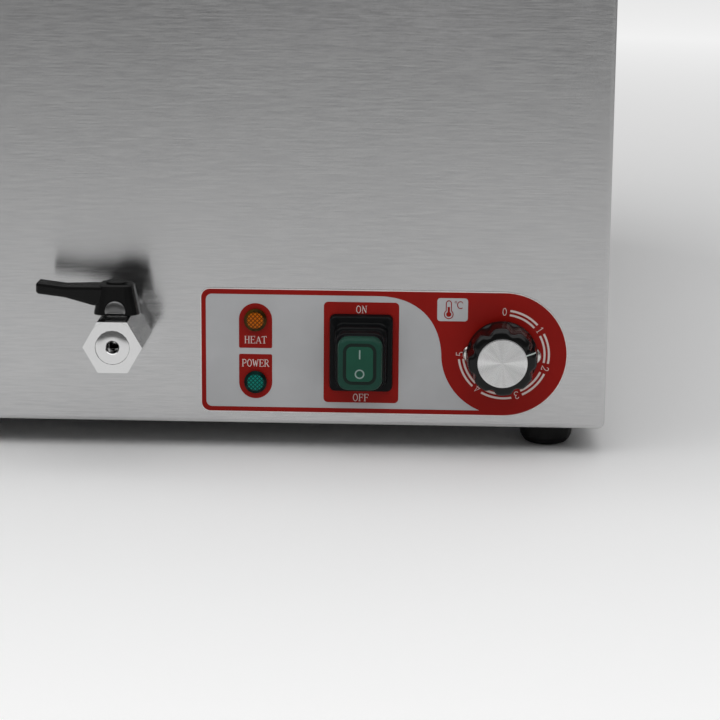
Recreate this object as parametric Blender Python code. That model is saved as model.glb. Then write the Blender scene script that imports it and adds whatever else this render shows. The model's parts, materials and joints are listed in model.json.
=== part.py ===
"""Electric bain-marie: a wet well with two lifting pans, hinged lids, a drain tap and controls.

Metres, +Z up. The front faces -Y, the feet stand on z = 0, and the origin is the middle of the
bounding box's underside. Every piece is one named object with its own material.
"""
import math

import bmesh
import bpy
from mathutils import Matrix, Vector

# General
SEAM = 0.0003
SHEET = 0.001
OVERRUN = 0.004
WELD = 0.000001
SMOOTH_ANGLE = math.radians(35)
CORNER_STEPS = 3
BEND_STEPS = 2
ROUND_SIDES = 20
SMALL_SIDES = 12
TUBE_SIDES = 8
KNOB_SIDES = 32

# Case
CASE_FLOOR = 0.012
PANEL_WRAP = 0.042
PANEL_CORNER = 0.003
PANEL_BEND = 0.002
PANEL_LAP = 0.012
REAR_TOP_RETURN = 0.014
SIDE_FLANGE = 0.010
BASE_FLANGE = 0.010

# Deck and well
DECK_SKIRT = 0.020
DECK_CORNER = 0.003
DECK_SIDE = 0.0225
DECK_REAR = 0.029
WELL_CORNER = 0.018
WELL_FRONT = 0.061
TANK_FLOOR = 0.040
TANK_FLANGE = 0.012
TANK_FILLET = 0.005

# Feet
FOOT_INSET_X = 0.0262
FOOT_INSET_Y = 0.025
FOOT_RADIUS = 0.0136
FOOT_BASE_RADIUS = 0.0120
FOOT_ROUNDING = 0.0036
FOOT_RECESS_RADIUS = 0.0046
FOOT_RECESS_DEPTH = 0.0046
FOOT_SCREW_RADIUS = 0.002
FOOT_SCREW_HEAD_RADIUS = 0.0040
FOOT_SCREW_HEAD_HEIGHT = 0.0028
FOOT_SCREW_TOP = 0.0195

# Control film and the places of the controls on it
DIAL_RIGHT = 0.0475
DIAL_RISE = 0.0352
FILM_LENGTH = 0.1699
FILM_HEIGHT = 0.0588
FILM_CORNER = 0.0045
FILM_THICKNESS = 0.0004
FILM_END_STEPS = 12

# Thermostat, behind the panel, and its knob
KNOB_OFFSET = 0.0009
THERMOSTAT_SCREW_SPACING = 0.028
THERMOSTAT_SCREW_RADIUS = 0.002
THERMOSTAT_SCREW_TURN = math.radians(1.5)
SCREW_HEAD_RADIUS = 0.004
SCREW_HEAD_HEIGHT = 0.0022
SCREW_LENGTH = 0.008
THERMOSTAT_BUSH_RADIUS = 0.005
THERMOSTAT_BODY_WIDTH = 0.038
THERMOSTAT_BODY_HEIGHT = 0.034
THERMOSTAT_BODY_DEPTH = 0.026
THERMOSTAT_BODY_CORNER = 0.006
THERMOSTAT_PLATE_WIDTH = 0.040
THERMOSTAT_PLATE_THICKNESS = 0.0015
SPINDLE_RADIUS = 0.003
SPINDLE_FLAT_SHARE = 0.5
KNOB_RADIUS = 0.0166
KNOB_FACE_RADIUS = 0.0161
KNOB_BACK = 0.0034
KNOB_SHOULDER = 0.0170
KNOB_FRONT = 0.0187
KNOB_HUB_RADIUS = 0.0065
KNOB_WALL = 0.0016
KNOB_CAP_RADIUS = 0.0112
KNOB_CAP_THICKNESS = 0.0008

# Lamps
LAMP_INSET = 0.0256
LAMP_RISE = 0.0147
LAMP_LENS_RADIUS = 0.0053
LAMP_LENS_PROUD = 0.0014
LAMP_LENS_CROWN = 0.0008
LAMP_BODY_RADIUS = 0.0046
LAMP_BODY_LENGTH = 0.022
LAMP_STEM_RADIUS = 0.0030
LAMP_STEM_LENGTH = 0.006

# Rocker switch and its waterproof boot
SWITCH_X = 0.0659
SWITCH_RISE = 0.0003
BEZEL_WIDTH = 0.0250
BEZEL_HEIGHT = 0.0312
BEZEL_CORNER = 0.002
BEZEL_PROUD = 0.0022
SWITCH_WIDTH = 0.0214
SWITCH_HEIGHT = 0.0284
SWITCH_DEPTH = 0.021
SWITCH_CUTOUT_GAP = 0.0004
SWITCH_WALL = 0.0016
ROCKER_POCKET_DEPTH = 0.0108
ROCKER_WIDTH = 0.0158
ROCKER_HEIGHT = 0.0212
ROCKER_FACE_HEIGHT = 0.0178
ROCKER_PROUD = 0.0128
ROCKER_DISH = 0.0010
ROCKER_DEPTH = 0.0040
ROCKER_PIVOT = 0.0020
ROCKER_TILT = math.radians(8)
BOOT_WIDTH = 0.0296
BOOT_HEIGHT = 0.0369
BOOT_CORNER = 0.0022
BOOT_WALL = 0.0010
BOOT_FLANGE = 0.0036
BOOT_PROUD = 0.0190
DOME_WIDTH = 0.0204
DOME_HEIGHT = 0.0253
DOME_DROP = 0.0013
DOME_CORNER = 0.0055

# Drain tap
TAP_FROM_FILM = 0.035
TAP_RISE = 0.01015
TAP_FLATS = 0.0232
TAP_FRONT = 0.044
TAP_BACK = 0.008
TAP_CHAMFER = 0.0008
TAP_FACE_MARGIN = 0.0005
TAP_BORE_RADIUS = 0.0055
TAP_MOUTH_RADIUS = 0.0078
TAP_MOUTH_DEPTH = 0.0022
TAP_NECK_RADIUS = 0.0100
TAP_TAIL_RADIUS = 0.0083
TAP_TAIL_END = 0.070
TAP_BALL_RADIUS = 0.0085
TAP_BALL_GAP = 0.0004
TAP_BOSS_RADIUS = 0.0050
TAP_BOSS_HEIGHT = 0.0045
TAP_STEM_RADIUS = 0.0030
TAP_STEM_GAP = 0.0003
TAP_SLOT_WIDTH = 0.0026
TAP_SLOT_DEPTH = 0.0016
LEVER_GAP = 0.0007
LEVER_HEIGHT = 0.0138
LEVER_BASE = 0.0207
LEVER_BASE_DEPTH = 0.0145
LEVER_TOP = 0.0156
LEVER_TOP_DEPTH = 0.0130
LEVER_BASE_CORNER = 0.0050
LEVER_TOP_CORNER = 0.0040
LEVER_EDGE = 0.0008
LEVER_REACH = 0.036
LEVER_ARM_WIDTH = 0.0120
LEVER_TIP_WIDTH = 0.0100
LEVER_ARM_HEIGHT = 0.0090
LEVER_TIP_HEIGHT = 0.0055
LEVER_ARM_RISE = 0.0030
LEVER_NUT_FLATS = 0.0080
LEVER_NUT_HEIGHT = 0.0028
LEVER_RECESS = 0.0034
LEVER_RECESS_GAP = 0.0004
LOCKNUT_FLATS = 0.021
LOCKNUT_THICKNESS = 0.0055
GASKET_RADIUS = 0.0120
GASKET_THICKNESS = 0.0020
GASKET_GAP = 0.0004

# Heating element, thermostat bulb and the other fittings of the control space
ELEMENT_RADIUS = 0.004
ELEMENT_RISE = 0.034
ELEMENT_SPACING = 0.060
ELEMENT_TAIL = 0.018
ELEMENT_NEAR = 0.045
ELEMENT_FAR = 0.040
ELEMENT_BEND_STEPS = 6
GLAND_NUT_FLATS = 0.015
GLAND_NUT_THICKNESS = 0.006
CLIP_WIDTH = 0.014
CLIP_THICKNESS = 0.0015
CLIP_OVERHANG = 0.009
BULB_RISE = 0.044
BULB_RADIUS = 0.003
BULB_LENGTH = 0.090
CAPILLARY_RADIUS = 0.0010
CAPILLARY_STEPS = 8
BULB_GLAND_RADIUS = 0.0065
BULB_GLAND_LENGTH = 0.007
BULB_GLAND_FLANGE = 0.0090
CUTOUT_RISE = 0.080
CUTOUT_RADIUS = 0.009
CUTOUT_FLANGE_RADIUS = 0.012
CUTOUT_HEIGHT = 0.012
CUTOUT_TAB_WIDTH = 0.0063
CUTOUT_TAB_LENGTH = 0.008
CUTOUT_TAB_THICKNESS = 0.0008
TERMINAL_X = 0.005
TERMINAL_Y = 0.030
TERMINAL_WIDTH = 0.044
TERMINAL_DEPTH = 0.018
TERMINAL_HEIGHT = 0.016
TERMINAL_POLES = 4
TERMINAL_POLE_RADIUS = 0.003
TERMINAL_POLE_DEPTH = 0.006

# Rear panel, its cable gland and the air slots
GLAND_INSET = 0.055
GLAND_RISE = 0.048
GLAND_THREAD_RADIUS = 0.008
GLAND_FLATS = 0.022
GLAND_BODY = 0.007
GLAND_REACH = 0.022
GLAND_CAP_RADIUS = 0.0095
GLAND_MOUTH_RADIUS = 0.0045
GLAND_INSIDE = 0.010
GLAND_LOCKNUT_THICKNESS = 0.004
SLOT_LENGTH = 0.034
SLOT_WIDTH = 0.004
SLOT_PITCH = 0.011
REAR_SLOTS = 6
REAR_SLOT_RISE = 0.120
BASE_SLOTS = 5
BASE_SLOT_Y = 0.050

# Pans
PAN_WIDTH = 0.325
PAN_LENGTH = 0.2635
PAN_GAP = 0.0015
PAN_DEPTH = 0.150
PAN_BEARING = 0.010
PAN_END_BEARING = 0.00925
PAN_CLEARANCE = 0.0158
PAN_SHEET = 0.0009
PAN_LIP = 0.0035
PAN_RIM = 0.012
PAN_TAPER = 0.008
PAN_RIM_CORNER = 0.014
PAN_CORNER = 0.030
PAN_FILLET = 0.012
PAN_FILLET_STEPS = 2

# Lids, each of two leaves on a piano hinge
LID_INSET = 0.0015
LID_RIM = 0.011
LID_RISE = 0.017
LID_SLOPE = 0.010
LID_CORNER = 0.013
LID_SHEET = 0.0009
HINGE_RADIUS = 0.0026
HINGE_PIN_RADIUS = 0.0015
HINGE_PIN_GAP = 0.0002
HINGE_GAP = 0.0006
HINGE_KNUCKLES = 7
HINGE_KNUCKLE_GAP = 0.0006
HINGE_STRAP = 0.007
HINGE_STRAP_THICKNESS = 0.0012
HINGE_MARGIN = 0.016
HINGE_SIDES = 10
HANDLE_RADIUS = 0.0038
HANDLE_SPAN = 0.100
HANDLE_RISE = 0.030
HANDLE_BEND = 0.012
HANDLE_EDGE = 0.034
HANDLE_FOOT_RADIUS = 0.0075
HANDLE_FOOT_THICKNESS = 0.0015

# The well follows the pans, the deck clears the element, and the case follows the well
WELL_WIDTH = PAN_WIDTH - 2 * PAN_BEARING
WELL_LENGTH = 2 * PAN_LENGTH + PAN_GAP - 2 * PAN_END_BEARING
DECK_TOP = (TANK_FLOOR + ELEMENT_RISE + ELEMENT_RADIUS + PAN_CLEARANCE + PAN_DEPTH
            - PAN_LIP - SEAM)
CASE_WIDTH = WELL_WIDTH + 2 * DECK_SIDE
CASE_DEPTH = WELL_FRONT + WELL_LENGTH + DECK_REAR

# Places worked out from the sizes above; y runs back from the front panel's outer face
FRONT = -CASE_DEPTH / 2 + (TAP_FRONT - GLAND_REACH) / 2
HALF_WIDTH = CASE_WIDTH / 2
GLAND_X = HALF_WIDTH - GLAND_INSET
PANEL_TOP = DECK_TOP - SHEET - SEAM
PANEL_HEIGHT = PANEL_TOP - CASE_FLOOR
PANEL_MIDDLE = (PANEL_TOP + CASE_FLOOR) / 2
DIAL_X = HALF_WIDTH - DIAL_RIGHT
DIAL_Z = CASE_FLOOR + DIAL_RISE
KNOB_X = DIAL_X - KNOB_OFFSET
FILM_BACK = -SEAM
FILM_FACE = -SEAM - FILM_THICKNESS
FILM_LEFT = DIAL_X + FILM_HEIGHT / 2 - FILM_LENGTH
TAP_PLACE_X = FILM_LEFT - TAP_FROM_FILM
TAP_Z = DIAL_Z + TAP_RISE
TAP_STEM_Y = -(TAP_FRONT + TAP_BACK) / 2
SWITCH_PLACE_X = DIAL_X - SWITCH_X
SWITCH_Z = DIAL_Z + SWITCH_RISE
LAMP_PLACE_X = FILM_LEFT + LAMP_INSET
WELL_BACK = WELL_FRONT + WELL_LENGTH
WELL_MIDDLE = WELL_FRONT + WELL_LENGTH / 2
FOOT_X = HALF_WIDTH - FOOT_INSET_X
FOOT_PLACES = {
    "front_left": (-FOOT_X, FOOT_INSET_Y),
    "front_right": (FOOT_X, FOOT_INSET_Y),
    "rear_left": (-FOOT_X, CASE_DEPTH - FOOT_INSET_Y),
    "rear_right": (FOOT_X, CASE_DEPTH - FOOT_INSET_Y),
}


def place(x, y, z):
    """A point whose y is counted back from the front panel's outer face."""
    return Vector((x, FRONT + y, z))


# Materials
def material(name, colour, roughness, metallic=0.0, alpha=1.0, transmission=0.0):
    made = bpy.data.materials.get(name)
    if made:
        return made
    made = bpy.data.materials.new(name)
    made.use_nodes = True
    shader = made.node_tree.nodes["Principled BSDF"]
    shader.inputs["Base Color"].default_value = (*colour, 1.0)
    shader.inputs["Roughness"].default_value = roughness
    shader.inputs["Metallic"].default_value = metallic
    shader.inputs["Alpha"].default_value = alpha
    shader.inputs["Transmission Weight"].default_value = transmission
    made.diffuse_color = (*colour, alpha)
    return made


def brushed_steel():
    return material("brushed_steel", (0.56, 0.56, 0.56), 0.32, 1.0)


def chrome():
    return material("chrome", (0.80, 0.80, 0.80), 0.10, 1.0)


def bright_steel():
    return material("bright_steel", (0.65, 0.65, 0.66), 0.18, 1.0)


def brass():
    return material("brass", (0.60, 0.43, 0.18), 0.30, 1.0)


def spun_aluminium():
    return material("spun_aluminium", (0.75, 0.75, 0.75), 0.25, 1.0)


def black_rubber():
    return material("black_rubber", (0.015, 0.015, 0.015), 0.70)


def black_plastic():
    return material("black_plastic", (0.012, 0.012, 0.012), 0.30)


def film_red():
    return material("control_film", (0.36, 0.010, 0.012), 0.45)


def amber_lens():
    return material("amber_lens", (0.55, 0.18, 0.02), 0.25, 0.0, 0.9)


def green_lens():
    return material("green_lens", (0.01, 0.16, 0.10), 0.25, 0.0, 0.9)


def green_rocker():
    return material("green_rocker", (0.01, 0.14, 0.07), 0.35)


def clear_boot():
    return material("clear_boot", (0.03, 0.06, 0.05), 0.30, 0.0, 0.6)


def grey_fibre():
    return material("grey_fibre", (0.35, 0.35, 0.34), 0.75)


def white_plastic():
    return material("white_plastic", (0.70, 0.70, 0.68), 0.45)


# Outlines, all counter-clockwise
def arc(centre, radius, start, end, steps):
    points = []
    for step in range(steps + 1):
        angle = start + (end - start) * step / steps
        points.append((centre[0] + radius * math.cos(angle), centre[1] + radius * math.sin(angle)))
    return points


def rounded(width, height, radius, steps=CORNER_STEPS, middle=(0.0, 0.0)):
    """A rectangle with round corners about middle."""
    across = width / 2 - radius
    up = height / 2 - radius
    points = []
    for quarter, (side, rise) in enumerate(((1, 1), (-1, 1), (-1, -1), (1, -1))):
        centre = (middle[0] + side * across, middle[1] + rise * up)
        start = quarter * math.pi / 2
        points += arc(centre, radius, start, start + math.pi / 2, steps)
    return points


def circle(radius, sides=ROUND_SIDES, middle=(0.0, 0.0)):
    return arc(middle, radius, 0.0, math.tau * (sides - 1) / sides, sides - 1)


def hexagon(flats, middle=(0.0, 0.0)):
    """A hexagon with corners to the right and left and flats above and below."""
    return circle(flats / math.sqrt(3), 6, middle)


def flip(outline):
    """The same outline with its first coordinate mirrored, still counter-clockwise."""
    return [(-across, up) for across, up in reversed(outline)]


# Solids
def upright(outline, level):
    return [Vector((across, along, level)) for across, along in outline]


def facing(outline, level):
    """An outline in the plane of the front panel, level behind its outer face."""
    return [place(across, level, up) for across, up in outline]


def sideways(outline, level):
    """An outline of (y, z) pairs at x = level."""
    return [place(level, along, up) for along, up in outline]


def loft(mesh, rings, closed=False):
    """Skin rings of equal point counts, capped at both ends or closed on the first ring."""
    rows = [[mesh.verts.new(point) for point in ring] for ring in rings]
    pairs = list(zip(rows, rows[1:]))
    if closed:
        pairs.append((rows[-1], rows[0]))
    for low, high in pairs:
        for index, corner in enumerate(low):
            following = (index + 1) % len(low)
            mesh.faces.new((corner, low[following], high[following], high[index]))
    if not closed:
        mesh.faces.new(list(reversed(rows[0])))
        mesh.faces.new(rows[-1])


def turn(mesh, profile, centre, axis=(0.0, 0.0, 1.0), sides=ROUND_SIDES, closed=False):
    """Spin a profile of (radius, level) pairs about an axis through centre."""
    part = bmesh.new()
    corners = [part.verts.new((radius, 0.0, level)) for radius, level in profile]
    edges = [part.edges.new(pair) for pair in zip(corners, corners[1:])]
    if closed:
        edges.append(part.edges.new((corners[-1], corners[0])))
    bmesh.ops.spin(part, geom=corners + edges, cent=(0, 0, 0), axis=(0, 0, 1),
                   angle=math.tau, steps=sides, use_merge=True)
    bmesh.ops.remove_doubles(part, verts=part.verts, dist=WELD)
    turned = Vector((0.0, 0.0, 1.0)).rotation_difference(Vector(axis)).to_matrix().to_4x4()
    bmesh.ops.transform(part, matrix=Matrix.Translation(centre) @ turned, verts=part.verts)
    holder = bpy.data.meshes.new("turned")
    part.to_mesh(holder)
    part.free()
    mesh.from_mesh(holder)
    bpy.data.meshes.remove(holder)


def block(mesh, low, high):
    """A box between two corners."""
    base = [(low[0], low[1]), (high[0], low[1]), (high[0], high[1]), (low[0], high[1])]
    loft(mesh, [upright(base, low[2]), upright(base, high[2])])


FRONTWARD = (0.0, -1.0, 0.0)
BACKWARD = (0.0, 1.0, 0.0)
RIGHTWARD = (1.0, 0.0, 0.0)
UPWARD = (0.0, 0.0, 1.0)


def finish(mesh, name, origin=(0.0, 0.0, 0.0)):
    """Make an object of a mesh drawn in the world, with its own origin."""
    bmesh.ops.recalc_face_normals(mesh, faces=mesh.faces)
    bmesh.ops.translate(mesh, vec=-Vector(origin), verts=mesh.verts)
    data = bpy.data.meshes.new(name)
    mesh.to_mesh(data)
    mesh.free()
    made = bpy.data.objects.new(name, data)
    made.location = origin
    bpy.context.scene.collection.objects.link(made)
    return made


def piece(mesh, name, finish_material, origin=(0.0, 0.0, 0.0)):
    made = finish(mesh, name, origin)
    made.data.materials.append(finish_material)
    made.data.shade_smooth()
    made.data.set_sharp_from_angle(angle=SMOOTH_ANGLE)
    return made


def combine(target, mesh, operation, label):
    """Join, cut or intersect the target with a hidden tool shape."""
    tool = finish(mesh, f"{label}_of_{target.name}")
    tool.hide_render = True
    tool.display_type = "WIRE"
    change = target.modifiers.new(label, "BOOLEAN")
    change.operation = operation
    change.solver = "EXACT"
    change.object = tool
    return target


def add(target, mesh, label="addition"):
    return combine(target, mesh, "UNION", label)


def cut(target, mesh, label="cut"):
    return combine(target, mesh, "DIFFERENCE", label)


def hole(mesh, centre, radius, depth, axis=BACKWARD, sides=SMALL_SIDES):
    """A cylinder that starts at centre and runs depth along the axis."""
    turn(mesh, [(0.0, depth), (radius, depth), (radius, 0.0), (0.0, 0.0)], centre, axis, sides)


# Casing
FOOT_HOLE = FOOT_SCREW_RADIUS + SEAM
TAP_HOLE = TAP_TAIL_RADIUS + 2 * SEAM
LAMP_HOLE = LAMP_BODY_RADIUS + SEAM
SIDE_FACE = HALF_WIDTH - SHEET - SEAM
SIDE_TOP = PANEL_TOP - PANEL_CORNER
BASE_LEVEL = CASE_FLOOR + SHEET + SEAM
BASE_HALF_WIDTH = SIDE_FACE - SHEET - SEAM
QUARTER = math.pi / 2


def screw_place(side):
    """Middle of one thermostat screw, side -1 left or 1 right, as (x, z)."""
    reach = side * THERMOSTAT_SCREW_SPACING / 2
    drop = reach * math.sin(THERMOSTAT_SCREW_TURN)
    return KNOB_X + reach * math.cos(THERMOSTAT_SCREW_TURN), DIAL_Z - drop


def panel_outline(inset):
    """The tray's outline, drawn in by inset on every side."""
    return rounded(CASE_WIDTH - 2 * inset, PANEL_HEIGHT - 2 * inset, PANEL_CORNER - inset,
                   middle=(0.0, PANEL_MIDDLE))


def tray_rings(level_of):
    """Outer skin from the face round the bend to the edge, then the inner skin back."""
    outer = []
    inner = []
    inner_bend = PANEL_BEND - SHEET
    for step in range(BEND_STEPS + 1):
        angle = QUARTER * step / BEND_STEPS
        across, along = 1 - math.sin(angle), 1 - math.cos(angle)
        outer.append(facing(panel_outline(PANEL_BEND * across), level_of(PANEL_BEND * along)))
        inner.append(facing(panel_outline(SHEET + inner_bend * across),
                            level_of(SHEET + inner_bend * along)))
    edge = [facing(panel_outline(0.0), level_of(PANEL_WRAP)),
            facing(panel_outline(SHEET), level_of(PANEL_WRAP))]
    return outer + edge + list(reversed(inner))


def foot_holes(mesh, places):
    for across, along in places:
        hole(mesh, place(across, along, CASE_FLOOR - OVERRUN), FOOT_HOLE,
             SHEET + 2 * OVERRUN, UPWARD)


def front_panel():
    mesh = bmesh.new()
    loft(mesh, tray_rings(lambda level: level))
    made = piece(mesh, "front_panel", brushed_steel())
    holes = bmesh.new()
    through = SHEET + 2 * OVERRUN
    for side in (-1, 1):
        lamp_z = DIAL_Z + side * LAMP_RISE
        hole(holes, place(LAMP_PLACE_X, -OVERRUN, lamp_z), LAMP_HOLE, through)
        across, up = screw_place(side)
        hole(holes, place(across, -OVERRUN, up), THERMOSTAT_SCREW_RADIUS + SEAM, through)
    hole(holes, place(KNOB_X, -OVERRUN, DIAL_Z), THERMOSTAT_BUSH_RADIUS + SEAM, through)
    hole(holes, place(TAP_PLACE_X, -OVERRUN, TAP_Z), TAP_HOLE, through, sides=ROUND_SIDES)
    opening = rounded(SWITCH_WIDTH + 2 * SWITCH_CUTOUT_GAP, SWITCH_HEIGHT + 2 * SWITCH_CUTOUT_GAP,
                      SHEET, 1, (SWITCH_PLACE_X, SWITCH_Z))
    loft(holes, [facing(opening, -OVERRUN), facing(opening, SHEET + OVERRUN)])
    foot_holes(holes, [FOOT_PLACES["front_left"], FOOT_PLACES["front_right"]])
    cut(made, holes, "holes")


def rear_panel():
    mesh = bmesh.new()
    loft(mesh, tray_rings(lambda level: CASE_DEPTH - level))
    made = piece(mesh, "rear_panel", brushed_steel())
    holes = bmesh.new()
    inside = CASE_DEPTH - SHEET - OVERRUN
    through = SHEET + 2 * OVERRUN
    hole(holes, place(GLAND_X, inside, CASE_FLOOR + GLAND_RISE), GLAND_THREAD_RADIUS + SEAM, through)
    foot_holes(holes, [FOOT_PLACES["rear_left"], FOOT_PLACES["rear_right"]])
    for index in range(REAR_SLOTS):
        across = (index - (REAR_SLOTS - 1) / 2) * SLOT_PITCH
        slot = rounded(SLOT_WIDTH, SLOT_LENGTH, SLOT_WIDTH / 2 - WELD, 2,
                       (across, CASE_FLOOR + REAR_SLOT_RISE))
        loft(holes, [facing(slot, inside), facing(slot, inside + through)])
    relief = HALF_WIDTH - PANEL_CORNER
    block(holes, place(-relief, CASE_DEPTH - PANEL_WRAP - OVERRUN, PANEL_TOP - SHEET - SEAM),
          place(relief, CASE_DEPTH - REAR_TOP_RETURN, PANEL_TOP + OVERRUN))
    cut(made, holes, "holes")


def side_panel(name, side):
    """A sheet tucked inside both trays, with a flange turned in below between them."""
    profile = [(SIDE_FACE, SIDE_TOP), (SIDE_FACE - SHEET, SIDE_TOP),
               (SIDE_FACE - SHEET, CASE_FLOOR + SHEET), (SIDE_FACE - SIDE_FLANGE, CASE_FLOOR + SHEET),
               (SIDE_FACE - SIDE_FLANGE, CASE_FLOOR)]
    profile += arc((SIDE_FACE - PANEL_BEND, CASE_FLOOR + PANEL_BEND), PANEL_BEND,
                   -QUARTER, 0.0, BEND_STEPS + 1)
    if side < 0:
        profile = flip(profile)
    first = PANEL_WRAP - PANEL_LAP
    mesh = bmesh.new()
    loft(mesh, [facing(profile, first), facing(profile, CASE_DEPTH - first)])
    made = piece(mesh, name, brushed_steel())
    notches = bmesh.new()
    ends = ((first - OVERRUN, PANEL_WRAP + SEAM),
            (CASE_DEPTH - PANEL_WRAP - SEAM, CASE_DEPTH - first + OVERRUN))
    across = sorted((side * (SIDE_FACE - SIDE_FLANGE - OVERRUN), side * (SIDE_FACE + OVERRUN)))
    for begin, end in ends:
        block(notches, place(across[0], begin, CASE_FLOOR - OVERRUN),
              place(across[1], end, CASE_FLOOR + PANEL_CORNER))
    cut(made, notches, "notches")


def base_plate():
    low, high = BASE_LEVEL, BASE_LEVEL + SHEET
    half = BASE_HALF_WIDTH
    top = BASE_LEVEL + BASE_FLANGE
    profile = [(half, top), (half - SHEET, top), (half - SHEET, high), (SHEET - half, high),
               (SHEET - half, top), (-half, top), (-half, low), (half, low)]
    mesh = bmesh.new()
    first = PANEL_BEND + SEAM
    loft(mesh, [facing(profile, first), facing(profile, CASE_DEPTH - first)])
    made = piece(mesh, "base_plate", brushed_steel())
    holes = bmesh.new()
    foot_holes(holes, FOOT_PLACES.values())
    for row in (-1, 1):
        for index in range(BASE_SLOTS):
            along = WELL_MIDDLE + row * BASE_SLOT_Y + (index - (BASE_SLOTS - 1) / 2) * SLOT_PITCH
            slot = rounded(SLOT_LENGTH, SLOT_WIDTH, SLOT_WIDTH / 2 - WELD, 2, (0.0, FRONT + along))
            loft(holes, [upright(slot, low - OVERRUN), upright(slot, high + OVERRUN)])
    cut(made, holes, "holes")


def deck_outline(inset):
    reach = 2 * (SHEET + SEAM - inset)
    return rounded(CASE_WIDTH + reach, CASE_DEPTH + reach, DECK_CORNER - inset,
                   middle=(0.0, FRONT + CASE_DEPTH / 2))


def well_outline(outset=0.0):
    return rounded(WELL_WIDTH + 2 * outset, WELL_LENGTH + 2 * outset, WELL_CORNER + outset,
                   middle=(0.0, FRONT + WELL_MIDDLE))


def top_deck():
    """A plate round the well with a skirt that laps over the case."""
    rings = [upright(deck_outline(0.0), DECK_TOP - DECK_SKIRT)]
    for step in range(BEND_STEPS + 1):
        angle = QUARTER * step / BEND_STEPS
        rings.append(upright(deck_outline(PANEL_BEND * (1 - math.cos(angle))),
                             DECK_TOP - PANEL_BEND * (1 - math.sin(angle))))
    rings.append(upright(well_outline(), DECK_TOP))
    rings.append(upright(well_outline(), DECK_TOP - SHEET))
    inner_bend = PANEL_BEND - SHEET
    for step in range(BEND_STEPS + 1):
        angle = QUARTER * (1 - step / BEND_STEPS)
        rings.append(upright(deck_outline(SHEET + inner_bend * (1 - math.cos(angle))),
                             DECK_TOP - SHEET - inner_bend * (1 - math.sin(angle))))
    rings.append(upright(deck_outline(SHEET), DECK_TOP - DECK_SKIRT))
    mesh = bmesh.new()
    loft(mesh, rings, closed=True)
    piece(mesh, "top_deck", brushed_steel())


ELEMENT_RUN_SHARES = (-1.5, -0.5, 0.5, 1.5)
ELEMENT_X = ELEMENT_RUN_SHARES[-1] * ELEMENT_SPACING
ELEMENT_Z = TANK_FLOOR + ELEMENT_RISE
BULB_X = ELEMENT_SPACING
BULB_Z = TANK_FLOOR + BULB_RISE


def water_tank():
    """A drawn tank hung by its flange under the deck, holed for drain, element and bulb."""
    flange_top = DECK_TOP - SHEET - SEAM
    outer = []
    inner = []
    for step in range(BEND_STEPS + 2):
        angle = QUARTER * step / (BEND_STEPS + 1)
        inset, lift = TANK_FILLET * (1 - math.sin(angle)), TANK_FILLET * (1 - math.cos(angle))
        inner.append(upright(well_outline(-inset), TANK_FLOOR + lift))
        outer.append(upright(well_outline(SHEET - inset), TANK_FLOOR - SHEET + lift))
    rings = outer + [
        upright(well_outline(SHEET), flange_top - SHEET),
        upright(well_outline(TANK_FLANGE), flange_top - SHEET),
        upright(well_outline(TANK_FLANGE), flange_top),
        upright(well_outline(), flange_top),
    ] + list(reversed(inner))
    mesh = bmesh.new()
    loft(mesh, rings)
    made = piece(mesh, "water_tank", brushed_steel())
    holes = bmesh.new()
    start = WELL_FRONT - SHEET - OVERRUN
    through = SHEET + 2 * OVERRUN
    hole(holes, place(TAP_PLACE_X, start, TAP_Z), TAP_TAIL_RADIUS + SEAM, through, sides=ROUND_SIDES)
    for side in (-1, 1):
        hole(holes, place(side * ELEMENT_X, start, ELEMENT_Z), ELEMENT_RADIUS + SEAM, through)
    hole(holes, place(BULB_X, start, BULB_Z), BULB_RADIUS + SEAM, through)
    cut(made, holes, "holes")



# Feet
FOOT_ROUNDING_SHARES = (0.25, 0.6, 1.0)


def foot(corner):
    across, along = FOOT_PLACES[corner]
    top = CASE_FLOOR - SEAM
    profile = [(FOOT_HOLE, top), (FOOT_RADIUS, top), (FOOT_BASE_RADIUS, FOOT_ROUNDING)]
    profile += [(FOOT_BASE_RADIUS - FOOT_ROUNDING * share, FOOT_ROUNDING * (1 - share) ** 2)
                for share in FOOT_ROUNDING_SHARES]
    profile += [(FOOT_RECESS_RADIUS, 0.0), (FOOT_RECESS_RADIUS, FOOT_RECESS_DEPTH),
                (FOOT_HOLE, FOOT_RECESS_DEPTH)]
    mesh = bmesh.new()
    turn(mesh, profile, place(across, along, 0.0), closed=True)
    piece(mesh, f"foot_{corner}", black_rubber(), place(across, along, 0.0))


def foot_screw(corner):
    across, along = FOOT_PLACES[corner]
    head_top = FOOT_RECESS_DEPTH - SEAM
    head_low = head_top - FOOT_SCREW_HEAD_HEIGHT
    profile = [(0.0, FOOT_SCREW_TOP), (FOOT_SCREW_RADIUS, FOOT_SCREW_TOP),
               (FOOT_SCREW_RADIUS, head_top), (FOOT_SCREW_HEAD_RADIUS, head_top),
               (FOOT_SCREW_HEAD_RADIUS, (head_top + head_low) / 2),
               (FOOT_SCREW_HEAD_RADIUS / 2, head_low), (0.0, head_low)]
    mesh = bmesh.new()
    turn(mesh, profile, place(across, along, 0.0), sides=SMALL_SIDES)
    piece(mesh, f"foot_screw_{corner}", bright_steel(), place(across, along, 0.0))


# Control film
def film_outline():
    """Square-ended at the left with small corners, a half round at the right."""
    left = FILM_LEFT + FILM_CORNER
    rise = FILM_HEIGHT / 2 - FILM_CORNER
    points = arc((DIAL_X, DIAL_Z), FILM_HEIGHT / 2, -QUARTER, QUARTER, FILM_END_STEPS)
    points += arc((left, DIAL_Z + rise), FILM_CORNER, QUARTER, 2 * QUARTER, CORNER_STEPS)
    points += arc((left, DIAL_Z - rise), FILM_CORNER, 2 * QUARTER, 3 * QUARTER, CORNER_STEPS)
    return points


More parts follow.
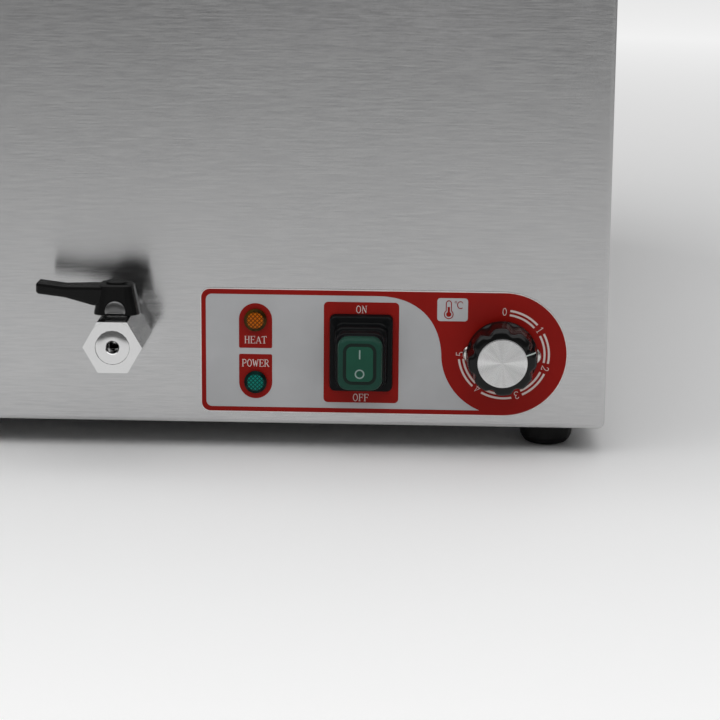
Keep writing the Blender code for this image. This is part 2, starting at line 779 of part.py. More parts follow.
def control_overlay():
    mesh = bmesh.new()
    loft(mesh, [facing(film_outline(), FILM_FACE), facing(film_outline(), FILM_BACK)])
    made = piece(mesh, "control_overlay", film_red())
    holes = bmesh.new()
    start, through = FILM_FACE - OVERRUN, 2 * OVERRUN
    for side in (-1, 1):
        hole(holes, place(LAMP_PLACE_X, start, DIAL_Z + side * LAMP_RISE), LAMP_HOLE, through)
    opening = rounded(SWITCH_WIDTH + 2 * SWITCH_CUTOUT_GAP, SWITCH_HEIGHT + 2 * SWITCH_CUTOUT_GAP,
                      SHEET, 1, (SWITCH_PLACE_X, SWITCH_Z))
    loft(holes, [facing(opening, start), facing(opening, start + through)])
    for side in (-1, 1):
        across, up = screw_place(side)
        hole(holes, place(across, start, up), THERMOSTAT_SCREW_RADIUS + SEAM, through)
    hole(holes, place(KNOB_X, start, DIAL_Z), THERMOSTAT_BUSH_RADIUS + SEAM, through)
    cut(made, holes, "holes")


# Lamps
def lamp_body(name, rise):
    """A tube behind the lens with two contact blades at its end."""
    centre = place(LAMP_PLACE_X, 0.0, DIAL_Z + rise)
    end = LAMP_BODY_LENGTH
    profile = [(0.0, end + LAMP_STEM_LENGTH), (LAMP_STEM_RADIUS, end + LAMP_STEM_LENGTH),
               (LAMP_STEM_RADIUS, end), (LAMP_BODY_RADIUS, end), (LAMP_BODY_RADIUS, FILM_FACE),
               (0.0, FILM_FACE)]
    mesh = bmesh.new()
    turn(mesh, profile, centre, BACKWARD, SMALL_SIDES)
    piece(mesh, name, white_plastic(), centre)


LENS_CROWN_SHARES = (0.45, 0.8)


def lamp_lens(name, rise, finish_material):
    """A low round lens that covers the hole, crowned at the front."""
    centre = place(LAMP_PLACE_X, FILM_FACE - SEAM, DIAL_Z + rise)
    profile = [(0.0, LAMP_LENS_PROUD + LAMP_LENS_CROWN)]
    for share in LENS_CROWN_SHARES:
        profile.append((LAMP_LENS_RADIUS * share,
                        LAMP_LENS_PROUD + LAMP_LENS_CROWN * math.sqrt(1 - share ** 2)))
    profile += [(LAMP_LENS_RADIUS, LAMP_LENS_PROUD), (LAMP_LENS_RADIUS, 0.0), (0.0, 0.0)]
    profile.reverse()
    mesh = bmesh.new()
    turn(mesh, profile, centre, FRONTWARD)
    piece(mesh, name, finish_material, centre)


# Thermostat
THERMOSTAT_FRONT = SHEET + SEAM
SPINDLE_END = 0.012
SPINDLE_IN_KNOB = 0.0035
KNOB_SEAT = KNOB_FRONT - 0.6 * KNOB_CAP_THICKNESS
KNOB_ROOF = KNOB_SEAT - KNOB_WALL
DIAL_PLACE = place(KNOB_X, 0.0, DIAL_Z)


def thermostat_body():
    """The box behind the panel with its bush through the panel and tapped screw holes."""
    middle = (KNOB_X, DIAL_Z)
    box_back = THERMOSTAT_FRONT + THERMOSTAT_PLATE_THICKNESS + THERMOSTAT_BODY_DEPTH
    plate_back = THERMOSTAT_FRONT + THERMOSTAT_PLATE_THICKNESS
    plate = rounded(THERMOSTAT_PLATE_WIDTH, THERMOSTAT_BODY_HEIGHT, THERMOSTAT_BODY_CORNER,
                    2, middle)
    box = rounded(THERMOSTAT_BODY_WIDTH - THERMOSTAT_BODY_CORNER, THERMOSTAT_BODY_HEIGHT - SHEET,
                  THERMOSTAT_BODY_CORNER, 2, middle)
    mesh = bmesh.new()
    loft(mesh, [facing(plate, THERMOSTAT_FRONT), facing(plate, plate_back),
                facing(box, plate_back), facing(box, box_back)])
    made = piece(mesh, "thermostat_body", white_plastic(), DIAL_PLACE)
    bush = bmesh.new()
    bush_front = FILM_FACE - SHEET
    hole(bush, place(KNOB_X, bush_front, DIAL_Z), THERMOSTAT_BUSH_RADIUS,
         plate_back - bush_front, BACKWARD)
    add(made, bush, "bush")
    bores = bmesh.new()
    hole(bores, place(KNOB_X, bush_front - OVERRUN, DIAL_Z), SPINDLE_RADIUS + SEAM,
         SPINDLE_END + SEAM - bush_front + OVERRUN)
    for side in (-1, 1):
        across, up = screw_place(side)
        hole(bores, place(across, -OVERRUN, up), THERMOSTAT_SCREW_RADIUS + SEAM,
             SCREW_LENGTH + SEAM + OVERRUN)
    cut(made, bores, "bores")


def thermostat_spindle():
    """A shaft with a flat, from inside the body to inside the knob's hub."""
    flat = math.acos(SPINDLE_FLAT_SHARE)
    outline = arc((KNOB_X, DIAL_Z), SPINDLE_RADIUS, flat, math.tau - flat, SMALL_SIDES)
    mesh = bmesh.new()
    loft(mesh, [facing(outline, SPINDLE_IN_KNOB - KNOB_FRONT), facing(outline, SPINDLE_END)])
    piece(mesh, "thermostat_spindle", bright_steel(), DIAL_PLACE)


SCREW_CROWN_SHARE = 0.7
SCREW_EDGE_SHARE = 0.9


def thermostat_screw(name, side):
    across, up = screw_place(side)
    head = FILM_FACE - SEAM
    profile = [(0.0, SCREW_LENGTH), (THERMOSTAT_SCREW_RADIUS, SCREW_LENGTH),
               (THERMOSTAT_SCREW_RADIUS, head), (SCREW_HEAD_RADIUS, head),
               (SCREW_HEAD_RADIUS, head - SCREW_HEAD_HEIGHT / 2),
               (SCREW_HEAD_RADIUS * SCREW_CROWN_SHARE, head - SCREW_HEAD_HEIGHT * SCREW_EDGE_SHARE),
               (0.0, head - SCREW_HEAD_HEIGHT)]
    mesh = bmesh.new()
    turn(mesh, profile, place(across, 0.0, up), BACKWARD, SMALL_SIDES)
    piece(mesh, name, bright_steel(), place(across, 0.0, up))


def control_knob():
    """A hollow moulding with a hub for the spindle and a seat for the metal cap."""
    seat = KNOB_CAP_RADIUS + SEAM
    inner = KNOB_FACE_RADIUS - KNOB_WALL
    bore = SPINDLE_RADIUS + SEAM
    profile = [
        (0.0, KNOB_SEAT), (seat, KNOB_SEAT), (seat, KNOB_FRONT),
        ((seat + KNOB_FACE_RADIUS) / 2, (KNOB_FRONT * 3 + KNOB_SHOULDER) / 4),
        (KNOB_FACE_RADIUS - SEAM, KNOB_SHOULDER + SEAM), (KNOB_FACE_RADIUS, KNOB_SHOULDER),
        (KNOB_RADIUS, KNOB_BACK), (KNOB_RADIUS - KNOB_WALL, KNOB_BACK), (inner, KNOB_ROOF),
        (KNOB_HUB_RADIUS, KNOB_ROOF), (KNOB_HUB_RADIUS, KNOB_BACK + KNOB_WALL),
        (bore, KNOB_BACK + KNOB_WALL), (bore, KNOB_FRONT - SPINDLE_IN_KNOB + SEAM),
        (0.0, KNOB_FRONT - SPINDLE_IN_KNOB + SEAM),
    ]
    mesh = bmesh.new()
    turn(mesh, profile, DIAL_PLACE, FRONTWARD, KNOB_SIDES)
    piece(mesh, "control_knob", black_plastic(), DIAL_PLACE)


def knob_cap():
    low = KNOB_SEAT + SEAM
    high = low + KNOB_CAP_THICKNESS
    edge = KNOB_CAP_THICKNESS / 2
    profile = [(0.0, high), (KNOB_CAP_RADIUS - edge, high), (KNOB_CAP_RADIUS, high - edge),
               (KNOB_CAP_RADIUS, low), (0.0, low)]
    mesh = bmesh.new()
    turn(mesh, profile, DIAL_PLACE, FRONTWARD, KNOB_SIDES)
    piece(mesh, "knob_cap", spun_aluminium(), DIAL_PLACE)


# Rocker switch
SWITCH_PLACE = place(SWITCH_PLACE_X, ROCKER_PIVOT, SWITCH_Z)
BEZEL_BACK = FILM_FACE - SEAM
POCKET_WIDTH = SWITCH_WIDTH - 2 * SWITCH_WALL
POCKET_HEIGHT = SWITCH_HEIGHT - 2 * SWITCH_WALL
BLADE_SHARES = (-0.3, 0.3)
BOOT_PROFILE_SHARES = (
    (0.0, 0.0), (0.22, 0.03), (0.60, 0.35), (0.72, 0.37), (0.83, 0.61), (1.0, 0.63),
    (1.0, 0.87), (1.10, 0.96), (1.32, 1.0),
)


def switch_body():
    """A snap-in body with its bezel, an open pocket for the rocker and four blades behind."""
    middle = (SWITCH_PLACE_X, SWITCH_Z)
    bezel = rounded(BEZEL_WIDTH, BEZEL_HEIGHT, BEZEL_CORNER, 2, middle)
    body = rounded(SWITCH_WIDTH, SWITCH_HEIGHT, SHEET, 2, middle)
    mesh = bmesh.new()
    loft(mesh, [facing(bezel, BEZEL_BACK - BEZEL_PROUD), facing(bezel, BEZEL_BACK),
                facing(body, BEZEL_BACK), facing(body, SWITCH_DEPTH)])
    made = piece(mesh, "switch_body", black_plastic(), SWITCH_PLACE)
    blades = bmesh.new()
    for across in BLADE_SHARES:
        for up in BLADE_SHARES:
            x = SWITCH_PLACE_X + across * SWITCH_WIDTH
            z = SWITCH_Z + up * SWITCH_HEIGHT
            block(blades, place(x - CUTOUT_TAB_WIDTH / 2, SWITCH_DEPTH - OVERRUN,
                                z - CUTOUT_TAB_THICKNESS / 2),
                  place(x + CUTOUT_TAB_WIDTH / 2, SWITCH_DEPTH + CUTOUT_TAB_LENGTH,
                        z + CUTOUT_TAB_THICKNESS / 2))
    add(made, blades, "blades")
    pocket = bmesh.new()
    outline = rounded(POCKET_WIDTH, POCKET_HEIGHT, SHEET, 2, middle)
    loft(pocket, [facing(outline, BEZEL_BACK - BEZEL_PROUD - OVERRUN),
                  facing(outline, ROCKER_POCKET_DEPTH)])
    cut(made, pocket, "pocket")


def switch_rocker():
    """The rocker in its off position, on a cross pin that runs in the body's walls."""
    middle = (SWITCH_PLACE_X, SWITCH_Z)

    def outline(height, narrowing):
        return rounded(ROCKER_WIDTH - narrowing, height, 2 * SHEET, 2, middle)

    waist = (ROCKER_HEIGHT + ROCKER_FACE_HEIGHT) / 2
    mesh = bmesh.new()
    loft(mesh, [
        facing(outline(ROCKER_FACE_HEIGHT - 2 * ROCKER_DISH, 3 * ROCKER_DISH),
               ROCKER_DISH / 2 - ROCKER_PROUD),
        facing(outline(ROCKER_FACE_HEIGHT - ROCKER_DISH, 2 * ROCKER_DISH), -ROCKER_PROUD),
        facing(outline(ROCKER_FACE_HEIGHT, ROCKER_DISH), ROCKER_DISH / 2 - ROCKER_PROUD),
        facing(outline(waist, 0.0), -ROCKER_PROUD / 2),
        facing(outline(ROCKER_HEIGHT, 0.0), 0.0),
        facing(outline(waist, 0.0), ROCKER_PIVOT + ROCKER_DEPTH),
    ])
    tilt = Matrix.Rotation(ROCKER_TILT, 4, "X")
    shift = Matrix.Translation(SWITCH_PLACE)
    bmesh.ops.transform(mesh, matrix=shift @ tilt @ shift.inverted(), verts=mesh.verts)
    made = piece(mesh, "switch_rocker", green_rocker(), SWITCH_PLACE)
    pin = bmesh.new()
    half = POCKET_WIDTH / 2 - SEAM
    hole(pin, SWITCH_PLACE - Vector((half, 0.0, 0.0)), SWITCH_WALL, 2 * half, RIGHTWARD)
    add(made, pin, "pin")


def switch_boot():
    """A stepped waterproof cap that ends in a dome, drawn down towards the pressed side."""
    def outline(inset_share, height_share, wall):
        width = BOOT_WIDTH + (DOME_WIDTH - BOOT_WIDTH) * inset_share - 2 * wall
        height = BOOT_HEIGHT + (DOME_HEIGHT - BOOT_HEIGHT) * inset_share - 2 * wall
        corner = BOOT_CORNER + (DOME_CORNER - BOOT_CORNER) * min(inset_share, 1.0) - wall
        middle = (SWITCH_PLACE_X, SWITCH_Z - DOME_DROP * height_share)
        proud = BOOT_FLANGE + (BOOT_PROUD - BOOT_FLANGE) * height_share - wall
        return facing(rounded(width, height, corner, CORNER_STEPS, middle), -proud)

    base = facing(rounded(BOOT_WIDTH, BOOT_HEIGHT, BOOT_CORNER, CORNER_STEPS,
                          (SWITCH_PLACE_X, SWITCH_Z)), BEZEL_BACK)
    mouth = facing(rounded(BOOT_WIDTH - 2 * BOOT_WALL, BOOT_HEIGHT - 2 * BOOT_WALL,
                           BOOT_CORNER - BOOT_WALL, CORNER_STEPS, (SWITCH_PLACE_X, SWITCH_Z)),
                   BEZEL_BACK)
    outer = [outline(inset, height, 0.0) for inset, height in BOOT_PROFILE_SHARES]
    inner = [outline(inset, height, BOOT_WALL) for inset, height in BOOT_PROFILE_SHARES]
    mesh = bmesh.new()
    loft(mesh, list(reversed(outer)) + [base, mouth] + inner)
    piece(mesh, "switch_boot", clear_boot(), SWITCH_PLACE)


# Drain tap
TAP_PLACE = place(TAP_PLACE_X, TAP_STEM_Y, TAP_Z)
TAP_TOP = TAP_Z + TAP_FLATS / 2
TAP_BOSS_TOP = TAP_TOP + TAP_BOSS_HEIGHT
TONGUE_SHARE = 0.7
LEVER_LOW = TAP_TOP + LEVER_GAP
LEVER_HIGH = LEVER_LOW + LEVER_HEIGHT
TAP_CHAMBER_RADIUS = TAP_BALL_RADIUS + TAP_BALL_GAP
LOCKNUT_BORE = TAP_TAIL_RADIUS + SEAM


def tap_body():
    """A hexagonal body with chamfered ends, a tail through the tank wall and a ball chamber."""
    middle = (TAP_PLACE_X, TAP_Z)
    axis = place(TAP_PLACE_X, 0.0, TAP_Z)
    mesh = bmesh.new()
    loft(mesh, [facing(hexagon(TAP_FLATS, middle), -TAP_FRONT),
                facing(hexagon(TAP_FLATS, middle), -TAP_BACK)])
    made = piece(mesh, "tap_body", chrome(), TAP_PLACE)
    low = TAP_FLATS / 2 + TAP_FACE_MARGIN
    high = TAP_FLATS / math.sqrt(3) + SEAM
    slope = (high - low) / TAP_CHAMFER
    reach = TAP_CHAMFER
    envelope = bmesh.new()
    turn(envelope, [
        (0.0, -TAP_BACK + reach), (low - slope * reach, -TAP_BACK + reach),
        (high, -TAP_BACK - TAP_CHAMFER), (high, TAP_CHAMFER - TAP_FRONT),
        (low - slope * reach, -TAP_FRONT - reach), (0.0, -TAP_FRONT - reach),
    ], axis, BACKWARD)
    combine(made, envelope, "INTERSECT", "chamfer")
    tail = bmesh.new()
    turn(tail, [(0.0, TAP_TAIL_END), (TAP_TAIL_RADIUS, TAP_TAIL_END), (TAP_TAIL_RADIUS, -SEAM),
                (TAP_NECK_RADIUS, -SEAM), (TAP_NECK_RADIUS, -TAP_BACK - SHEET),
                (0.0, -TAP_BACK - SHEET)], axis, BACKWARD)
    add(made, tail, "tail")
    boss = bmesh.new()
    hole(boss, place(TAP_PLACE_X, TAP_STEM_Y, TAP_TOP - SHEET), TAP_BOSS_RADIUS,
         TAP_BOSS_HEIGHT + SHEET, UPWARD)
    add(made, boss, "boss")
    opening = math.asin(TAP_BORE_RADIUS / TAP_CHAMBER_RADIUS)
    chamber = [(radius, TAP_STEM_Y + level) for level, radius in
               arc((0.0, 0.0), TAP_CHAMBER_RADIUS, opening, math.pi - opening, 10)]
    bore = bmesh.new()
    turn(bore, [(0.0, TAP_TAIL_END + OVERRUN), (TAP_BORE_RADIUS, TAP_TAIL_END + OVERRUN)]
         + chamber + [
             (TAP_BORE_RADIUS, TAP_MOUTH_DEPTH - TAP_FRONT),
             (TAP_MOUTH_RADIUS, TAP_MOUTH_DEPTH - TAP_FRONT),
             (TAP_MOUTH_RADIUS, -TAP_FRONT - OVERRUN), (0.0, -TAP_FRONT - OVERRUN)],
         axis, BACKWARD)
    cut(made, bore, "bore")
    stem_hole = bmesh.new()
    hole(stem_hole, TAP_PLACE + Vector((0.0, 0.0, TAP_BORE_RADIUS)), TAP_STEM_RADIUS + TAP_STEM_GAP,
         TAP_BOSS_TOP - TAP_Z, UPWARD)
    cut(made, stem_hole, "stem_hole")


def tap_ball():
    """The ball, closed: its bore runs across the tap and a slot on top takes the stem."""
    profile = [(radius, level) for radius, level in
               arc((0.0, 0.0), TAP_BALL_RADIUS, QUARTER, -QUARTER, ROUND_SIDES // 2)]
    profile[0] = (0.0, TAP_BALL_RADIUS)
    profile[-1] = (0.0, -TAP_BALL_RADIUS)
    mesh = bmesh.new()
    turn(mesh, profile, TAP_PLACE)
    made = piece(mesh, "tap_ball", chrome(), TAP_PLACE)
    bore = bmesh.new()
    reach = TAP_BALL_RADIUS + OVERRUN
    hole(bore, TAP_PLACE - Vector((reach, 0.0, 0.0)), TAP_BORE_RADIUS, 2 * reach, RIGHTWARD)
    cut(made, bore, "bore")
    slot = bmesh.new()
    half = TAP_SLOT_WIDTH / 2
    block(slot, TAP_PLACE + Vector((-reach, -half, TAP_BALL_RADIUS - TAP_SLOT_DEPTH)),
          TAP_PLACE + Vector((reach, half, reach)))
    cut(made, slot, "slot")


def tap_stem():
    """A spindle from a tongue in the ball's slot up through the lever."""
    low = TAP_BALL_RADIUS + TAP_STEM_GAP
    mesh = bmesh.new()
    hole(mesh, TAP_PLACE + Vector((0.0, 0.0, low)), TAP_STEM_RADIUS,
         LEVER_HIGH - TAP_Z - low, UPWARD)
    made = piece(mesh, "tap_stem", bright_steel(), TAP_PLACE)
    tongue = bmesh.new()
    half = TAP_SLOT_WIDTH / 2 - TAP_STEM_GAP
    reach = TONGUE_SHARE * TAP_STEM_RADIUS
    block(tongue, TAP_PLACE + Vector((-reach, -half, low - TAP_SLOT_DEPTH + TAP_STEM_GAP)),
          TAP_PLACE + Vector((reach, half, low + TAP_SLOT_DEPTH)))
    add(made, tongue, "tongue")


def tap_lever():
    """A tapered hub with an arm to the left, hollow below over the tap's boss."""
    middle = (TAP_PLACE_X, FRONT + TAP_STEM_Y)
    base = rounded(LEVER_BASE, LEVER_BASE_DEPTH, LEVER_BASE_CORNER, CORNER_STEPS, middle)
    shoulder = rounded(LEVER_TOP, LEVER_TOP_DEPTH, LEVER_TOP_CORNER, CORNER_STEPS, middle)
    top = rounded(LEVER_TOP - 2 * LEVER_EDGE, LEVER_TOP_DEPTH - 2 * LEVER_EDGE,
                  LEVER_TOP_CORNER - LEVER_EDGE, CORNER_STEPS, middle)
    mesh = bmesh.new()
    loft(mesh, [upright(base, LEVER_LOW), upright(shoulder, LEVER_HIGH - LEVER_EDGE),
                upright(top, LEVER_HIGH)])
    made = piece(mesh, "tap_lever", black_plastic(), TAP_PLACE)
    arm = bmesh.new()
    root_z = LEVER_HIGH - LEVER_EDGE - LEVER_ARM_HEIGHT / 2
    tip_z = root_z + LEVER_ARM_RISE
    neck = (root_z + tip_z) / 2
    tip = TAP_PLACE_X - LEVER_REACH
    loft(arm, [
        sideways(rounded(LEVER_ARM_WIDTH, LEVER_ARM_HEIGHT, LEVER_EDGE * 2, 2,
                         (TAP_STEM_Y, root_z)), TAP_PLACE_X - LEVER_TOP / 4),
        sideways(rounded(LEVER_ARM_WIDTH, LEVER_ARM_HEIGHT, LEVER_EDGE * 2, 2,
                         (TAP_STEM_Y, root_z)), TAP_PLACE_X - LEVER_BASE / 2),
        sideways(rounded(LEVER_TIP_WIDTH, LEVER_TIP_HEIGHT, LEVER_EDGE * 2, 2,
                         (TAP_STEM_Y, neck)), (TAP_PLACE_X - LEVER_BASE / 2 + tip) / 2),
        sideways(rounded(LEVER_TIP_WIDTH, LEVER_TIP_HEIGHT, LEVER_EDGE * 2, 2,
                         (TAP_STEM_Y, tip_z)), tip + LEVER_EDGE),
        sideways(rounded(LEVER_TIP_WIDTH - 2 * LEVER_EDGE, LEVER_TIP_HEIGHT - 2 * LEVER_EDGE,
                         LEVER_EDGE, 2, (TAP_STEM_Y, tip_z)), tip),
    ])
    add(made, arm, "arm")
    recess = LEVER_NUT_FLATS / math.sqrt(3) + LEVER_RECESS_GAP
    hollow = bmesh.new()
    turn(hollow, [
        (0.0, LEVER_HIGH + OVERRUN), (recess, LEVER_HIGH + OVERRUN),
        (recess, LEVER_HIGH - LEVER_RECESS),
        (TAP_STEM_RADIUS + TAP_STEM_GAP, LEVER_HIGH - LEVER_RECESS),
        (TAP_STEM_RADIUS + TAP_STEM_GAP, TAP_BOSS_TOP + LEVER_GAP),
        (TAP_BOSS_RADIUS + LEVER_GAP, TAP_BOSS_TOP + LEVER_GAP),
        (TAP_BOSS_RADIUS + LEVER_GAP, LEVER_LOW - OVERRUN), (0.0, LEVER_LOW - OVERRUN),
    ], place(TAP_PLACE_X, TAP_STEM_Y, 0.0))
    cut(made, hollow, "hollow")


def hexagon_ring(flats, sides=ROUND_SIDES, middle=(0.0, 0.0)):
    """A hexagon drawn with as many points as a circle, to pair with a round bore."""
    points = []
    for index in range(sides):
        angle = math.tau * index / sides
        turn_off = angle % (math.tau / 6) - math.tau / 12
        radius = flats / 2 / math.cos(turn_off)
        points.append((middle[0] + radius * math.cos(angle), middle[1] + radius * math.sin(angle)))
    return points


def nut(name, flats, bore, middle, start, thickness, finish_material):
    """A hexagon nut round an axis that runs front to back."""
    outer = hexagon_ring(flats, middle=middle)
    inner = circle(bore, middle=middle)
    mesh = bmesh.new()
    loft(mesh, [facing(outer, start), facing(outer, start + thickness),
                facing(inner, start + thickness), facing(inner, start)], closed=True)
    piece(mesh, name, finish_material, place(middle[0], start, middle[1]))


def lever_nut():
    middle = (TAP_PLACE_X, FRONT + TAP_STEM_Y)
    outer = hexagon_ring(LEVER_NUT_FLATS, middle=middle)
    inner = circle(TAP_STEM_RADIUS + TAP_STEM_GAP, middle=middle)
    low = LEVER_HIGH - LEVER_RECESS + SEAM
    mesh = bmesh.new()
    loft(mesh, [upright(outer, low), upright(outer, low + LEVER_NUT_HEIGHT),
                upright(inner, low + LEVER_NUT_HEIGHT), upright(inner, low)], closed=True)
    piece(mesh, "lever_nut", bright_steel(), place(TAP_PLACE_X, TAP_STEM_Y, low))


def tap_fixings():
    """Backnut and gasket outside the tank wall, locknut inside it."""
    middle = (TAP_PLACE_X, TAP_Z)
    wall = WELL_FRONT - SHEET
    gasket_start = wall - SEAM - GASKET_THICKNESS
    nut("tap_backnut", LOCKNUT_FLATS, LOCKNUT_BORE, middle,
        gasket_start - SEAM - LOCKNUT_THICKNESS, LOCKNUT_THICKNESS, brass())
    nut("tap_locknut", LOCKNUT_FLATS, LOCKNUT_BORE, middle,
        WELL_FRONT + SEAM, LOCKNUT_THICKNESS, brass())
    mesh = bmesh.new()
    turn(mesh, [(GASKET_RADIUS, gasket_start + GASKET_THICKNESS), (GASKET_RADIUS, gasket_start),
                (TAP_TAIL_RADIUS + GASKET_GAP, gasket_start),
                (TAP_TAIL_RADIUS + GASKET_GAP, gasket_start + GASKET_THICKNESS)],
         place(TAP_PLACE_X, 0.0, TAP_Z), BACKWARD, closed=True)
    piece(mesh, "tap_gasket", grey_fibre(), place(TAP_PLACE_X, gasket_start, TAP_Z))


def tube(mesh, path, radius, binormal, sides=TUBE_SIDES):
    """A round bar along a flat path, with square ends."""
    rings = []
    for index, point in enumerate(path):
        before = path[max(index - 1, 0)]
        after = path[min(index + 1, len(path) - 1)]
        across = (after - before).normalized().cross(binormal)
        rings.append([point + radius * (math.cos(math.tau * turn_index / sides) * across
                                        + math.sin(math.tau * turn_index / sides) * binormal)
                      for turn_index in range(sides)])
    loft(mesh, rings)


# Heating element and the other fittings
TANK_WALL = WELL_FRONT - SHEET
BULB_START = WELL_FRONT + BULB_GLAND_LENGTH
TERMINAL_LEVEL = BASE_LEVEL + SHEET + SEAM


def heating_element():
    """Four runs joined by three bends, both ends out through the tank's front wall."""
    bend = ELEMENT_SPACING / 2
    far = WELL_BACK - ELEMENT_FAR - bend
    near = WELL_FRONT + ELEMENT_NEAR + bend
    tail = TANK_WALL - ELEMENT_TAIL
    path = [(-ELEMENT_X, tail), (-ELEMENT_X, near)]
    path += arc((-ELEMENT_SPACING, far), bend, 2 * QUARTER, 0.0, ELEMENT_BEND_STEPS)
    path += arc((0.0, near), bend, 2 * QUARTER, 4 * QUARTER, ELEMENT_BEND_STEPS)
    path += arc((ELEMENT_SPACING, far), bend, 2 * QUARTER, 0.0, ELEMENT_BEND_STEPS)
    path += [(ELEMENT_X, near), (ELEMENT_X, tail)]
    mesh = bmesh.new()
    points = [place(across, along, ELEMENT_Z) for across, along in path]
    tube(mesh, points, ELEMENT_RADIUS, Vector(UPWARD))
    piece(mesh, "heating_element", bright_steel(), place(0.0, near, ELEMENT_Z))


def element_glands():
    start = TANK_WALL - SEAM - GLAND_NUT_THICKNESS
    for name, side in (("element_gland_left", -1), ("element_gland_right", 1)):
        nut(name, GLAND_NUT_FLATS, ELEMENT_RADIUS + SEAM, (side * ELEMENT_X, ELEMENT_Z),
            start, GLAND_NUT_THICKNESS, brass())


def element_clip():
    """A comb on the tank floor that carries the four runs."""
    low = TANK_FLOOR + SEAM
    along = WELL_MIDDLE
    half = ELEMENT_X + CLIP_OVERHANG
    profile = [(along, low), (along + CLIP_WIDTH, low), (along + CLIP_WIDTH, low + CLIP_THICKNESS),
               (along + CLIP_THICKNESS, low + CLIP_THICKNESS), (along + CLIP_THICKNESS, ELEMENT_Z),
               (along, ELEMENT_Z)]
    mesh = bmesh.new()
    loft(mesh, [sideways(profile, -half), sideways(profile, half)])
    made = piece(mesh, "element_clip", bright_steel(), place(0.0, along, low))
    notches = bmesh.new()
    for run_share in ELEMENT_RUN_SHARES:
        hole(notches, place(run_share * ELEMENT_SPACING, along - OVERRUN, ELEMENT_Z),
             ELEMENT_RADIUS + SEAM, CLIP_THICKNESS + 2 * OVERRUN)
    cut(made, notches, "notches")


BULB_SHOULDER_SHARE = 0.7
BULB_TIP_SHARE = 0.2


def thermostat_bulb():
    """A capillary from the thermostat's back through the tank wall, swollen into the bulb."""
    body_back = THERMOSTAT_FRONT + THERMOSTAT_PLATE_THICKNESS + THERMOSTAT_BODY_DEPTH + SEAM
    first = place(KNOB_X, body_back, DIAL_Z + THERMOSTAT_BODY_HEIGHT / 4)
    last = place(BULB_X, TANK_WALL - BULB_GLAND_LENGTH - SHEET, BULB_Z)
    pull = (last - first).length / 3 * Vector(BACKWARD)
    points = []
    for step in range(CAPILLARY_STEPS + 1):
        share = step / CAPILLARY_STEPS
        rest = 1 - share
        point = (rest ** 3 * first + 3 * rest ** 2 * share * (first + pull)
                 + 3 * rest * share ** 2 * (last - pull) + share ** 3 * last)
        points.append((point, CAPILLARY_RADIUS))
    end = BULB_START + BULB_LENGTH
    points += [
        (place(BULB_X, BULB_START, BULB_Z), CAPILLARY_RADIUS),
        (place(BULB_X, BULB_START + BULB_RADIUS, BULB_Z), BULB_RADIUS),
        (place(BULB_X, end - BULB_RADIUS, BULB_Z), BULB_RADIUS),
        (place(BULB_X, end - BULB_RADIUS / 4, BULB_Z), BULB_SHOULDER_SHARE * BULB_RADIUS),
        (place(BULB_X, end, BULB_Z), BULB_TIP_SHARE * BULB_RADIUS),
    ]
    curve = bpy.data.curves.new("thermostat_bulb", "CURVE")
    curve.dimensions = "3D"
    curve.bevel_depth = BULB_RADIUS
    curve.bevel_resolution = 2
    curve.use_fill_caps = True
    spline = curve.splines.new("POLY")
    spline.points.add(len(points) - 1)
    for knot, (point, radius) in zip(spline.points, points):
        knot.co = (*(point - last), 1.0)
        knot.radius = radius / BULB_RADIUS
    made = bpy.data.objects.new("thermostat_bulb", curve)
    made.location = last
    curve.materials.append(brass())
    bpy.context.scene.collection.objects.link(made)


def bulb_gland():
    """A flanged bush that seals the capillary where it enters the tank."""
    back = TANK_WALL - SEAM
    bore = CAPILLARY_RADIUS + SEAM
    mesh = bmesh.new()
    turn(mesh, [(BULB_GLAND_FLANGE, back), (BULB_GLAND_FLANGE, back - CLIP_THICKNESS),
                (BULB_GLAND_RADIUS, back - CLIP_THICKNESS),
                (BULB_GLAND_RADIUS, back - BULB_GLAND_LENGTH), (bore, back - BULB_GLAND_LENGTH),
                (bore, back)], place(BULB_X, 0.0, BULB_Z), BACKWARD, SMALL_SIDES, closed=True)
    piece(mesh, "bulb_gland", brass(), place(BULB_X, back, BULB_Z))


def overheat_cutout():
    """A snap disc on the tank's front wall with two contact blades."""
    up = TANK_FLOOR + CUTOUT_RISE
    centre = place(0.0, TANK_WALL - SEAM, up)
    mesh = bmesh.new()
    turn(mesh, [(0.0, CUTOUT_HEIGHT), (CUTOUT_RADIUS, CUTOUT_HEIGHT),
                (CUTOUT_RADIUS, CLIP_THICKNESS), (CUTOUT_FLANGE_RADIUS, CLIP_THICKNESS),
                (CUTOUT_FLANGE_RADIUS, 0.0), (0.0, 0.0)], centre, FRONTWARD)
    made = piece(mesh, "overheat_cutout", black_plastic(), centre)
    blades = bmesh.new()
    face = TANK_WALL - SEAM - CUTOUT_HEIGHT
    for side in (-1, 1):
        level = up + side * CUTOUT_RADIUS / 2
        block(blades, place(-CUTOUT_TAB_WIDTH / 2, face - CUTOUT_TAB_LENGTH,
                            level - CUTOUT_TAB_THICKNESS / 2),
              place(CUTOUT_TAB_WIDTH / 2, face + SHEET, level + CUTOUT_TAB_THICKNESS / 2))
    add(made, blades, "blades")


